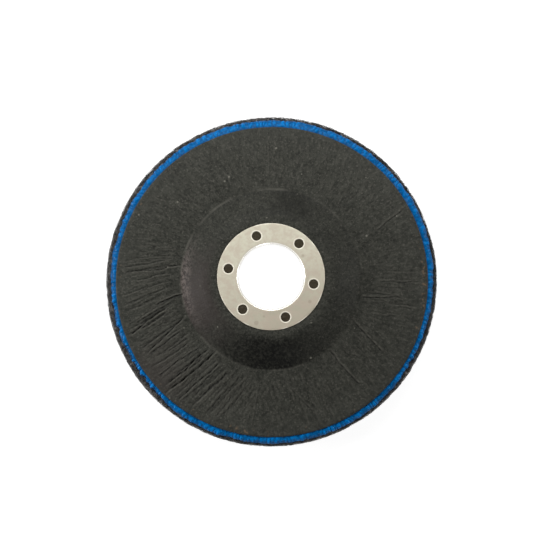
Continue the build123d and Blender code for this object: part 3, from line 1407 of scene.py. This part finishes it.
@dataclass
class HubRing(SubAssembly):
    """Pressed steel ring: flange with six punched holes, bend and collar."""

    node: ClassVar[str] = "hub_ring"
    slot: ClassVar[str] = "tinned_steel"
    layout: Layout
    bore_radius: float = 11.115 * MM
    bend_radius: float = 0.2 * MM
    edge_round: float = 0.09 * MM
    collar_break: float = 0.08 * MM
    hole_radius: float = 1.6 * MM
    hole_roll: float = 0.16 * MM
    hole_burr: float = 0.025 * MM
    weld: float = 0.002 * MM
    inner_steps: int = 32
    outer_steps: int = 44
    side_steps: int = 14

    @property
    def flat_inner(self) -> float:
        """Radius where the flange's flat turns into the bend."""
        return self.bore_radius + self.layout.sheet + self.bend_radius

    @property
    def flat_outer(self) -> float:
        """Radius where the flange's back rounds off."""
        return self.layout.ring_radius - self.edge_round

    def sector_outline(self, outer: float) -> Array:
        """Outline of the flange round one hole, in order, about the hole's own angle.

        Args:
            outer: Outer radius of the flat.

        Returns:
            Points in the plane, anticlockwise from the outer arc's start.
        """
        half = math.pi / self.layout.holes.count
        along = np.linspace(-half, half, self.outer_steps + 1)[:-1]
        back = np.linspace(half, -half, self.inner_steps + 1)[:-1]
        side = np.linspace(0, 1, self.side_steps + 1)[:-1]
        inward = outer + (self.flat_inner - outer) * side
        outward = self.flat_inner + (outer - self.flat_inner) * side
        return np.concatenate(
            [
                on_circle(outer, along),
                on_circle(inward, half),
                on_circle(self.flat_inner, back),
                on_circle(outward, -half),
            ]
        )

    def sector(self) -> tuple[Array, Faces]:
        """Back, hole and underside of the flange round one hole.

        Returns:
            Points and faces, with the hole on the X axis.
        """
        middle = (self.bore_radius + self.layout.ring_radius) / 2
        back, under = self.sector_outline(self.flat_outer), self.sector_outline(self.layout.ring_radius)
        top, bottom = self.layout.ring_back, self.layout.ring_back - self.layout.sheet
        centre = np.array([middle, 0.0])
        hole = on_circle(1.0, np.arctan2(back[:, 1], back[:, 0] - middle))
        rolls = ((2.4, 0.35), (1.7, 0.9), (1.0, 0.7), (0.45, -0.6), (0.12, -2.6), (0.0, -5.0))
        edge = hole * (self.hole_radius + rolls[0][0] * self.hole_roll)
        loops = []
        for share in (1.0, 0.66, 0.36, 0.16):
            loops.append((centre + edge * (1 - share) + (back - centre) * share, top))
        for out, rise in rolls:
            radius = self.hole_radius + out * self.hole_roll
            loops.append((centre + hole * radius, top + rise * self.hole_burr))
        loops.append((centre + hole * self.hole_radius, bottom))
        loops.append((under, bottom))
        count = len(back)
        points = np.vstack([np.column_stack([xy, np.full(count, z)]) for xy, z in loops])
        faces = []
        for row in range(len(loops) - 1):
            a, b = row * count, (row + 1) * count
            faces += [(a + j, a + (j + 1) % count, b + (j + 1) % count, b + j) for j in range(count)]
        return points, faces

    def rim_strip(self) -> TurnedSkin:
        """Lays the sheared outer edge of the flange, rounded at its back.

        Returns:
            The strip, open at the flange.
        """
        columns = self.outer_steps * self.layout.holes.count
        top = self.layout.ring_back
        rings = [Ring(self.flat_outer, top, columns)]
        for turn in np.linspace(0, math.pi / 2, 5)[1:]:
            out = self.flat_outer + self.edge_round * math.sin(turn)
            rings.append(Ring(out, top - self.edge_round * (1 - math.cos(turn)), columns))
        rings.append(Ring(self.layout.ring_radius, top - self.layout.sheet, columns))
        return TurnedSkin(rings)

    def collar_strip(self) -> TurnedSkin:
        """Lays the bend and collar, from the flange's back round the collar's end to its underside.

        Returns:
            The strip, open at the flange.
        """
        columns = self.inner_steps * self.layout.holes.count
        outer_bend = self.bend_radius + self.layout.sheet
        hinge_height = self.layout.ring_back - outer_bend
        end, outside = self.layout.collar_end, self.bore_radius + self.layout.sheet
        rings = []
        for turn in np.linspace(0, math.pi / 2, 9):
            radius = self.flat_inner - outer_bend * math.sin(turn)
            rings.append(Ring(radius, hinge_height + outer_bend * math.cos(turn), columns))
        for share in (0.35, 0.7, 0.93):
            rings.append(Ring(self.bore_radius, hinge_height + (end - hinge_height) * share, columns))
        rings.append(Ring(self.bore_radius + self.collar_break, end, columns))
        rings.append(Ring(outside - self.collar_break, end, columns))
        rings.append(Ring(outside, end + 0.1 * MM, columns))
        for turn in np.linspace(math.pi / 2, 0, 5):
            radius = self.flat_inner - self.bend_radius * math.sin(turn)
            rings.append(Ring(radius, hinge_height + self.bend_radius * math.cos(turn), columns))
        return TurnedSkin(rings)

    @staticmethod
    def turned(points: Array, angle: float) -> Array:
        """Turns points about the bore.

        Args:
            points: Places in metres, one row each.
            angle: How far they turn, in radians.

        Returns:
            The turned places.
        """
        turn = np.array([[math.cos(angle), -math.sin(angle)], [math.sin(angle), math.cos(angle)]])
        return np.column_stack([points[:, :2] @ turn.T, points[:, 2]])

    def build(self, material: Material) -> list[Object]:
        """Builds the ring.

        Args:
            material: The tinplate.

        Returns:
            The ring's piece.
        """
        holes = self.layout.holes
        points, faces = self.sector()
        parts = [(self.turned(points, angle), faces) for angle in holes.angles()]
        for strip in (self.rim_strip(), self.collar_strip()):
            points = self.turned(strip.points, holes.first_angle - math.pi / holes.count)
            parts.append((points, strip.faces(closed=False)))
        points, faces = join_parts(parts)
        return [make_piece("hub_ring_tinplate", points, faces, material, merge=self.weld)]


@dataclass
class Adhesive(SubAssembly):
    """Bond under the plate and the lumpy bead squeezed out round its rim."""

    node: ClassVar[str] = "glue_bead"
    slot: ClassVar[str] = "adhesive"
    layout: Layout
    bead_widths_mm: tuple[float, ...] = (
        2.16, 2.58, 2.95, 2.64, 2.84, 3.22, 3.11, 3.01, 2.86, 2.59, 2.45, 2.22,
        2.38, 1.82, 1.54, 1.68, 2.36, 2.30, 2.43, 2.30, 2.18, 2.03, 1.74, 1.96,
    )
    bead_height: float = 2.15 * MM
    bond_inner: float = 32.4 * MM
    columns: int = 2160
    section_steps: int = 15
    lump_size: float = 1.9 * MM
    lump_height: float = 0.17 * MM

    @staticmethod
    def starved(angle: Array) -> Array:
        """How starved of glue the bead is, from 0 to 1: most low on the left.

        Args:
            angle: Angles in radians.

        Returns:
            One value for each angle.
        """
        return np.exp(-((np.degrees(angle) - 211) / 20) ** 2)

    @staticmethod
    def painted_light_by_angle(angle: Array) -> Array:
        """Painted light and shade by angle round the plate: dimmer on the left and lighter at the bottom.

        Args:
            angle: Angles in radians.

        Returns:
            One factor for each angle.
        """
        turn = np.degrees(angle) % 360
        return 1 - 0.22 * np.exp(-(((turn - 162) / 40) ** 2)) + 0.5 * np.exp(-(((turn - 275) / 42) ** 2))

    def width(self, angle: Array) -> Array:
        """Width of the bead round the plate.

        Args:
            angle: Angles in radians.

        Returns:
            Widths in metres.
        """
        known = np.linspace(0, 2 * math.pi, len(self.bead_widths_mm), endpoint=False)
        plain = np.interp(angle, known, self.bead_widths_mm, period=2 * math.pi)
        around = on_circle(self.layout.plate_radius, angle)
        ragged = (0.08 + 0.16 * self.starved(angle)) * ripple_noise(around, 3.2 * MM, 22)
        return (plain + 0.09 * ripple_noise(around, 9 * MM, 21) + ragged) * MM

    def section(self) -> tuple[TurnedSkin, Array, Array]:
        """Lays the rings: two under the plate, two up its rim and the rest for the bead.

        Returns:
            The skin, which of its points are the bead's, and how far round the bead's section each of
            those lies, in radians from the top.
        """
        base, plate = self.layout.pad_top, self.layout.plate_radius
        turns = np.linspace(0, math.pi / 2, self.section_steps)
        rings = [Ring(self.bond_inner, level, self.columns // 6) for level in (base, self.layout.bond_top)]
        rings.append(Ring(plate - 0.05 * MM, self.layout.bond_top, self.columns))
        rings.append(Ring(plate - 0.02 * MM, base + 0.8 * self.bead_height, self.columns))
        first = len(rings)
        rings += [Ring(plate, base, self.columns) for _ in turns]
        skin = TurnedSkin(rings)
        return skin, skin.rows >= first, turns[np.clip(skin.rows - first, 0, len(turns) - 1)]

    def lumps(self, sheet: Array) -> Array:
        """Large and small lumps of the bead.

        Args:
            sheet: Places over the bead, in metres.

        Returns:
            One value for each place, about zero.
        """
        billow = np.sqrt(ripple_noise(sheet, self.lump_size, 24) ** 2 + 0.05)
        small = np.sqrt(ripple_noise(sheet, 0.45 * self.lump_size, 25) ** 2 + 0.05)
        return billow + 0.45 * small - 1.1

    def blue(self, angle: Array, turn: Array, sheet: Array, lump: Array) -> Array:
        """How much of the lit blue the bead shows: painted shade at its edges and in its hollows, less where
        it is starved, and painted light by angle round the plate.

        Args:
            angle: Angles about the bore, in radians.
            turn: Angles round the bead's section, in radians.
            sheet: Places over the bead, in metres.
            lump: The lumps' value at each place.

        Returns:
            One value from 0 to 1 for each place.
        """
        reach = np.sin(turn) ** 0.85
        # Painted shade along the bead's edges, next to the plate and the fleece.
        core = np.sin(math.pi * reach) ** 0.7
        gaps = smooth_step(reach, 0.4, 0.7) * smooth_step(ripple_noise(sheet, 2.0 * MM, 27), -0.5, 0.3)
        full = 1 - gaps * np.minimum(1, 0.25 + self.starved(angle))
        # Lighter on the lumps with painted shade in the hollows, and painted light by angle.
        tone = np.clip(0.62 + 0.42 * lump, 0, 1) * (0.32 + 0.78 * core) * full * self.painted_light_by_angle(angle)
        return tone.clip(0, 1)

    def build(self, material: Material) -> list[Object]:
        """Builds the adhesive.

        Args:
            material: The blue adhesive.

        Returns:
            The adhesive's piece.
        """
        skin, shaped, turn = self.section()
        around = on_circle(self.layout.plate_radius, skin.angles)
        height = self.bead_height + 0.12 * MM * ripple_noise(around, 6 * MM, 23)
        out = self.width(skin.angles) * np.sin(turn) ** 0.85
        up = height * np.cos(turn) ** 0.8
        sheet = np.column_stack([around, up + out])
        lump = self.lumps(sheet)
        swell = self.lump_height * lump * np.sin(2 * turn + 0.25).clip(0.25, 1)
        out += swell * np.sin(turn)
        up = np.maximum(up + swell * np.cos(turn), 0)
        inset = 0.12 * MM * np.exp(-((turn / 0.2) ** 2)) * (0.6 + 0.6 * ripple_noise(around, 4 * MM, 26))
        skin.push_out(np.where(shaped, np.maximum(out, 0) - inset, 0))
        skin.points[:, 2] += np.where(shaped, up, 0)
        # The lump tone carries the bead's painted light and shade.
        tones = {"lump": np.where(shaped, self.blue(skin.angles, turn, sheet, lump), 0.5)}
        return [make_piece("glue_bead_lumps", skin.points, skin.faces(), material, tones=tones)]


class FleeceFace(Enum):
    """Faces of the fleece that loose fibres lie on."""

    RIM = "rim"
    SHOULDER = "shoulder"
    WORKING = "working"
    HOLE = "hole"


@dataclass(frozen=True)
class FibreLay:
    """How the fibres lie on one face of the fleece, in metres."""

    face: FleeceFace
    count: int
    length: float
    thickness: float
    lift: float
    seed: int
    steps: int = 5


@dataclass
class FleecePad(SubAssembly):
    """Pressed fleece: an uneven body and a coat of short curved fibres on every face."""

    node: ClassVar[str] = "fleece_pad"
    slot: ClassVar[str] = "fleece"
    layout: Layout
    columns: int = 720
    face_rows: int = 26
    rim_rows: int = 16
    hole_rows: int = 14
    top_rows_mm: tuple[float, ...] = (57.0, 56.6, 56.2, 55.7, 55.0, 53.0, 44.0, 33.0)
    skin_depth: float = 0.22 * MM
    rim_round: float = 0.5 * MM
    offset: tuple[float, float] = (-0.21 * MM, 0.57 * MM)
    growth: tuple[float, float] = (0.22 * MM, 0.36 * MM)
    lowest: float = 0.012 * MM
    bedded: float = 0.12 * MM
    shoulder_inner: float = 55.2 * MM
    lays: tuple[FibreLay, ...] = (
        FibreLay(FleeceFace.RIM, 6400, 4.2 * MM, 0.11 * MM, 0.16 * MM, 71),
        FibreLay(FleeceFace.SHOULDER, 5200, 2.3 * MM, 0.10 * MM, 0.22 * MM, 72),
        FibreLay(FleeceFace.WORKING, 6400, 5.2 * MM, 0.15 * MM, 0.1 * MM, 73),
        FibreLay(FleeceFace.HOLE, 3600, 3.6 * MM, 0.12 * MM, 0.16 * MM, 74),
    )

    def body_rings(self, inner: float, outer: float, low: float, high: float) -> list[Ring]:
        """Lays the body's rings over the working face, the rim, the shoulder and the hole.

        Args:
            inner: Radius of the hole.
            outer: Radius of the rim.
            low: Level of the working face.
            high: Level of the face under the bond.

        Returns:
            The rings in order.
        """
        flat_end = outer - self.rim_round
        arc = []
        for turn in np.linspace(0, math.pi / 2, 4):
            arc.append((self.rim_round * (1 - math.sin(turn)), self.rim_round * (1 - math.cos(turn))))
        places = [(radius, low) for radius in np.linspace(inner, flat_end, self.face_rows)]
        places += [(outer - back, low + rise) for back, rise in arc[1:]]
        sides = np.linspace(low + self.rim_round, high - self.rim_round, self.rim_rows)[1:]
        places += [(outer, height) for height in sides]
        places += [(outer - back, high - drop) for back, drop in arc[-2::-1]]
        places += [(radius * MM, high) for radius in self.top_rows_mm if radius * MM < flat_end]
        places += [(inner, height) for height in np.linspace(high, low, self.hole_rows)[:-1]]
        return [Ring(float(radius), float(height), self.columns) for radius, height in places]

    def body(self, material: Material) -> Object:
        """Builds the pad's uneven body.

        Args:
            material: The fleece.

        Returns:
            The body.
        """
        outer = self.layout.disc_radius - self.skin_depth
        inner = self.layout.pad_hole_radius + self.skin_depth
        low, high = self.skin_depth, self.layout.pad_top
        skin = TurnedSkin(self.body_rings(inner, outer, low, high))
        radii = skin.radii()
        rough = ripple_noise(skin.points, 2.2 * MM, 31) + 0.7 * ripple_noise(skin.points, 1.0 * MM, 32)
        rim = smooth_step(radii, outer - 1.5 * MM, outer)
        hole = 1 - smooth_step(radii, inner, inner + 1.0 * MM)
        skin.push_out(0.08 * MM * rough * (rim - hole))
        band = smooth_step(radii, 55.6 * MM, 56.4 * MM) * (skin.points[:, 2] > high - 0.2 * MM)
        under = skin.points[:, 2] < low + 0.1 * MM
        skin.points[:, 2] += 0.10 * MM * rough * band + 0.06 * MM * rough * under
        skin.points[:, 2] = np.maximum(skin.points[:, 2], self.lowest)
        self.set_off(skin.points)
        tones = {"strand": np.clip(0.25 + 0.2 * rough, 0, 1)}
        return make_piece("fleece_body", skin.points, skin.faces(), material, tones=tones)

    def start_places(self, lay: FibreLay, rng: np.random.Generator) -> tuple[Array, Array]:
        """Middle of each fibre and its heading, on the face laid flat.

        Args:
            lay: The lay.
            rng: Source of chance.

        Returns:
            Places as two columns in metres, and headings in radians.
        """
        high = self.layout.pad_top
        turn = rng.uniform(0, 2 * math.pi, lay.count)
        heading = rng.uniform(0, 2 * math.pi, lay.count)
        if lay.face in (FleeceFace.RIM, FleeceFace.HOLE):
            radius = self.layout.disc_radius if lay.face is FleeceFace.RIM else self.layout.pad_hole_radius
            places = np.column_stack([turn * radius, rng.uniform(0.25 * MM, high - 0.1 * MM, lay.count)])
            return places, rng.normal(0, math.radians(24), lay.count)
        if lay.face is FleeceFace.SHOULDER:
            radius = rng.uniform(55.9 * MM, self.layout.disc_radius - 0.15 * MM, lay.count)
            heading = turn + math.pi / 2 + rng.normal(0, math.radians(38), lay.count)
        else:
            inner, outer = self.layout.pad_hole_radius + 0.8 * MM, self.layout.disc_radius - 0.8 * MM
            radius = np.sqrt(rng.uniform(inner**2, outer**2, lay.count))
        return on_circle(radius, turn), heading

    def set_off(self, points: Array) -> None:
        """Moves the pad's rim off centre, as it was glued, and leaves its hole in place.

        Args:
            points: Places in metres, in the last axis, which are changed.
        """
        radii = np.hypot(points[..., 0], points[..., 1])
        share = smooth_step(radii, self.layout.pad_hole_radius + 5 * MM, self.layout.disc_radius - 3 * MM)
        points[..., 0] += self.offset[0] * share
        points[..., 1] += self.offset[1] * share
        points[..., 0] *= 1 + self.growth[0] * share / radii
        points[..., 1] *= 1 + self.growth[1] * share / radii

    def onto_face(self, face: FleeceFace, flat: Array) -> Array:
        """Wraps points from the flat onto a face.

        Args:
            face: The face.
            flat: Two places along the face and the height above it, in the last three columns.

        Returns:
            Places in metres.
        """
        along, across, above = flat[..., 0], flat[..., 1], flat[..., 2]
        high, rim, hole = self.layout.pad_top, self.layout.disc_radius, self.layout.pad_hole_radius
        if face is FleeceFace.RIM:
            plan = on_circle(rim - self.bedded + above, along / rim)
            height = np.clip(across, 0.05 * MM, high + 0.05 * MM)
        elif face is FleeceFace.HOLE:
            plan = on_circle(hole + self.bedded - above, along / hole)
            height = np.clip(across, 0.05 * MM, high)
        else:
            radius = np.hypot(along, across)
            inner = self.shoulder_inner if face is FleeceFace.SHOULDER else hole
            kept = np.clip(radius, inner, rim + 0.2 * MM) / radius
            plan = flat[..., :2] * kept[..., None]
            if face is FleeceFace.SHOULDER:
                drop = 0.45 * smooth_step(radius, rim - 0.4 * MM, rim + 0.4 * MM) * MM
                height = high + 0.04 * MM + above - drop
            else:
                height = np.maximum(self.skin_depth - 0.09 * MM - above, 0.0)
        return np.concatenate([plan, height[..., None]], axis=-1)

    def tubes(self, lay: FibreLay, rng: np.random.Generator) -> Array:
        """Lays the fibres as three-sided tapered tubes, on the face laid flat.

        Args:
            lay: The lay.
            rng: Source of chance.

        Returns:
            Two places along the face and the height above it, by fibre, step and corner.
        """
        places, heading = self.start_places(lay, rng)
        count, steps = lay.count, lay.steps
        length = lay.length * rng.uniform(0.45, 1.15, count)
        curl = rng.normal(0, 0.9, count)[:, None]
        share = np.linspace(-0.5, 0.5, steps)[None, :]
        turn = heading[:, None] + curl * share
        line = np.cumsum(on_circle((length / (steps - 1))[:, None], turn), axis=1)
        line += (places - line[:, steps // 2])[:, None, :]
        tilt = rng.normal(0, 0.5, count)[:, None] * share + rng.uniform(-0.6, 1.0, count)[:, None]
        above = lay.lift * (tilt + 0.5 * np.sin(rng.uniform(0, 6, count)[:, None] + 5 * share))
        taper = np.array([0.45, *[1.0] * (steps - 2), 0.45])
        radius = lay.thickness / 2 * rng.uniform(0.6, 1.3, count)[:, None] * taper
        side = np.stack([-np.sin(turn), np.cos(turn)], axis=-1)
        corners = []
        for corner in range(TUBE_SIDES):
            spin = math.pi / 2 + corner * 2 * math.pi / TUBE_SIDES
            flat = line + side * (radius * math.cos(spin))[..., None]
            corners.append(np.concatenate([flat, (above + radius * math.sin(spin))[..., None]], axis=-1))
        return np.stack(corners, axis=2)

    @staticmethod
    def tube_faces(count: int, steps: int) -> Faces:
        """Stitches the sides and ends of the tubes.

        Args:
            count: How many tubes there are.
            steps: How many rings of corners each of them has.

        Returns:
            Faces as tuples of point numbers.
        """
        shapes = []
        for row in range(steps - 1):
            for corner in range(TUBE_SIDES):
                a, b = row * TUBE_SIDES + corner, row * TUBE_SIDES + (corner + 1) % TUBE_SIDES
                shapes.append((a, b, b + TUBE_SIDES, a + TUBE_SIDES))
        shapes.append(tuple(reversed(range(TUBE_SIDES))))
        shapes.append(tuple((steps - 1) * TUBE_SIDES + corner for corner in range(TUBE_SIDES)))
        starts = np.arange(count)[:, None] * steps * TUBE_SIDES
        return [tuple(face) for shape in shapes for face in (starts + np.array(shape)).tolist()]

    def fibres(self, lay: FibreLay, material: Material) -> Object:
        """Builds one field of fibres.

        Args:
            lay: The lay.
            material: The fleece.

        Returns:
            The field.
        """
        rng = np.random.default_rng(lay.seed)
        points = self.onto_face(lay.face, self.tubes(lay, rng)).reshape(-1, 3)
        self.set_off(points)
        tones = {"strand": np.repeat(rng.uniform(0, 1, lay.count) ** 2.1, lay.steps * TUBE_SIDES)}
        faces = self.tube_faces(lay.count, lay.steps)
        return make_piece(f"fleece_fibres_{lay.face.value}", points, faces, material, tones=tones)

    def build(self, material: Material) -> list[Object]:
        """Builds the body and every field of fibres.

        Args:
            material: The fleece.

        Returns:
            The pad's pieces.
        """
        return [self.body(material), *(self.fibres(lay, material) for lay in self.lays)]


@dataclass(frozen=True)
class SoftBox:
    """A square lamp that faces the disc: angles in degrees, size in metres, power in watts."""

    name: str
    azimuth: float
    elevation: float
    size: float
    power: float
    distance: float = 0.7

    def place(self, target: Vector) -> Vector:
        """Finds where the lamp hangs.

        Args:
            target: The place that it faces.

        Returns:
            The lamp's place.
        """
        across, up = math.radians(self.azimuth), math.radians(self.elevation)
        level = self.distance * math.cos(up)
        arm = (level * math.cos(across), level * math.sin(across), self.distance * math.sin(up))
        return target + Vector(arm)


@dataclass
class Studio:
    """Pale floor, soft lamps and the camera at the photograph's viewing angle."""

    layout: Layout
    plate_back: float
    camera_place: tuple[float, float, float] = (6.97 * MM, -30.89 * MM, 258.0 * MM)
    tilt_x: float = math.radians(6.69)
    tilt_y: float = math.radians(0.88)
    focal_px: float = 752.4
    floor_half: float = 3.0
    floor_drop: float = 0.02 * MM
    floor_shade: Shade = (0.8, 0.8, 0.8, 1.0)
    shadow_room: float = 0.1
    shadow_fade: float = 0.62
    world_strength: float = 0.05
    lamps: tuple[SoftBox, ...] = (
        SoftBox("left", 181.0, 16.0, 0.24, 3.7),
        SoftBox("upper_left", 130.0, 42.0, 0.25, 0.72, distance=0.45),
        SoftBox("top", 84.0, 45.0, 0.24, 0.82, distance=0.35),
        SoftBox("right", 6.0, 17.0, 0.26, 1.75),
        SoftBox("low", 284.0, 11.0, 0.24, 0.7),
    )

    @staticmethod
    def show(graph: Graph, output: str, real: Node, seen: Node) -> None:
        """Ends a graph with one shader that gives light and another for what the camera sees.

        Args:
            graph: The floor's or the world's graph.
            output: Blender's name for its output node.
            real: The shader that lights the disc.
            seen: The shader for rays that come from the camera, straight, reflected or through glass.
        """
        rays = graph.add("ShaderNodeLightPath").outputs
        share = graph.math("MAXIMUM", rays["Is Camera Ray"], rays["Is Glossy Ray"])
        share = graph.math("MAXIMUM", share, rays["Is Transmission Ray"])
        mix = graph.add("ShaderNodeMixShader", {0: share, 1: real.outputs[0], 2: seen.outputs[0]})
        graph.add(output, {"Surface": mix.outputs[0]})

    def floor(self) -> None:
        """Lays the floor: white to the camera, and a little dimmer round the disc, in its shadow."""
        material = bpy.data.materials.new("pale_floor")
        material.use_nodes = True
        graph = Graph(material.node_tree)
        graph.tree.nodes.clear()
        matt = graph.add("ShaderNodeBsdfDiffuse", {"Color": self.floor_shade})
        dimmed = graph.line(graph.radius(), self.layout.disc_radius + 18 * MM, 62 * MM)
        strength = graph.math("MULTIPLY_ADD", dimmed, -self.shadow_room, 1.0)
        glow = graph.add("ShaderNodeEmission", {"Color": WHITE, "Strength": strength})
        faint = graph.add("ShaderNodeMixShader", {0: self.shadow_fade, 1: matt.outputs[0]})
        seen = graph.add("ShaderNodeAddShader", {0: glow.outputs[0], 1: faint.outputs[0]})
        self.show(graph, "ShaderNodeOutputMaterial", matt, seen)
        half, level = self.floor_half, -self.floor_drop
        corners = ((-half, -half), (half, -half), (half, half), (-half, half))
        points = np.array([[x, y, level] for x, y in corners])
        floor = make_piece("floor", points, [(0, 1, 2, 3)], material)

    def world(self) -> None:
        """Sets the even light of the room, white where the camera sees it."""
        world = bpy.data.worlds.new("room")
        bpy.context.scene.world = world
        world.use_nodes = True
        graph = Graph(world.node_tree)
        graph.tree.nodes.clear()
        room = graph.add("ShaderNodeBackground", {"Color": WHITE, "Strength": self.world_strength})
        seen = graph.add("ShaderNodeBackground", {"Color": WHITE, "Strength": 1.0})
        self.show(graph, "ShaderNodeOutputWorld", room, seen)

    def light(self) -> None:
        """Hangs the lamps, each facing the middle of the disc."""
        target = Vector((0, 0, self.plate_back))
        for box in self.lamps:
            lamp = bpy.data.lights.new(box.name, "AREA")
            lamp.size, lamp.energy = box.size, box.power
            hung = bpy.data.objects.new(box.name, lamp)
            hung.location = box.place(target)
            hung.rotation_euler = (target - hung.location).to_track_quat("-Z", "Y").to_euler()
            bpy.context.scene.collection.objects.link(hung)

    def camera(self) -> None:
        """Places the camera as the photograph's was fitted."""
        lens = bpy.data.cameras.new("camera")
        lens.sensor_width = SENSOR_WIDTH_MM
        lens.lens = self.focal_px / PHOTO_WIDTH_PX * SENSOR_WIDTH_MM
        lens.clip_start, lens.clip_end = 0.01, 20.0
        holder = bpy.data.objects.new("camera", lens)
        x, y, z = self.camera_place
        place = Matrix.Translation((x, y, z + self.plate_back))
        turn = Matrix.Rotation(self.tilt_x, 4, "X") @ Matrix.Rotation(self.tilt_y, 4, "Y")
        holder.matrix_world = place @ turn
        bpy.context.scene.collection.objects.link(holder)
        bpy.context.scene.camera = holder

    def build(self) -> None:
        """Builds the whole studio."""
        bpy.context.scene.view_settings.view_transform = "Standard"
        self.camera()
        self.floor()
        self.world()
        self.light()


def main() -> None:
    """Builds the studio and every sub-assembly in order, and reports each piece."""
    logging.basicConfig(level=logging.INFO, format="%(name)s %(message)s")
    layout = Layout.from_frame()
    effects = SharedEffects.build()
    plate, ring = BackingPlate(layout), HubRing(layout)
    laminate = LaminateFinish(effects).material(layout.plate_radius)
    Studio(layout, plate.plate_back).build()
    work = (
        (plate, laminate),
        (AnchorPlugs(layout), laminate),
        (ring, TinplateFinish(effects).material(ring)),
        (Adhesive(layout), AdhesiveFinish(effects).material()),
        (FleecePad(layout), FleeceFinish(effects).material()),
    )
    for assembly, finish in work:
        for piece in assembly.dress(finish):
            log.info("%s: %d faces", piece.name, len(piece.data.polygons))


if __name__ == "__main__":
    main()
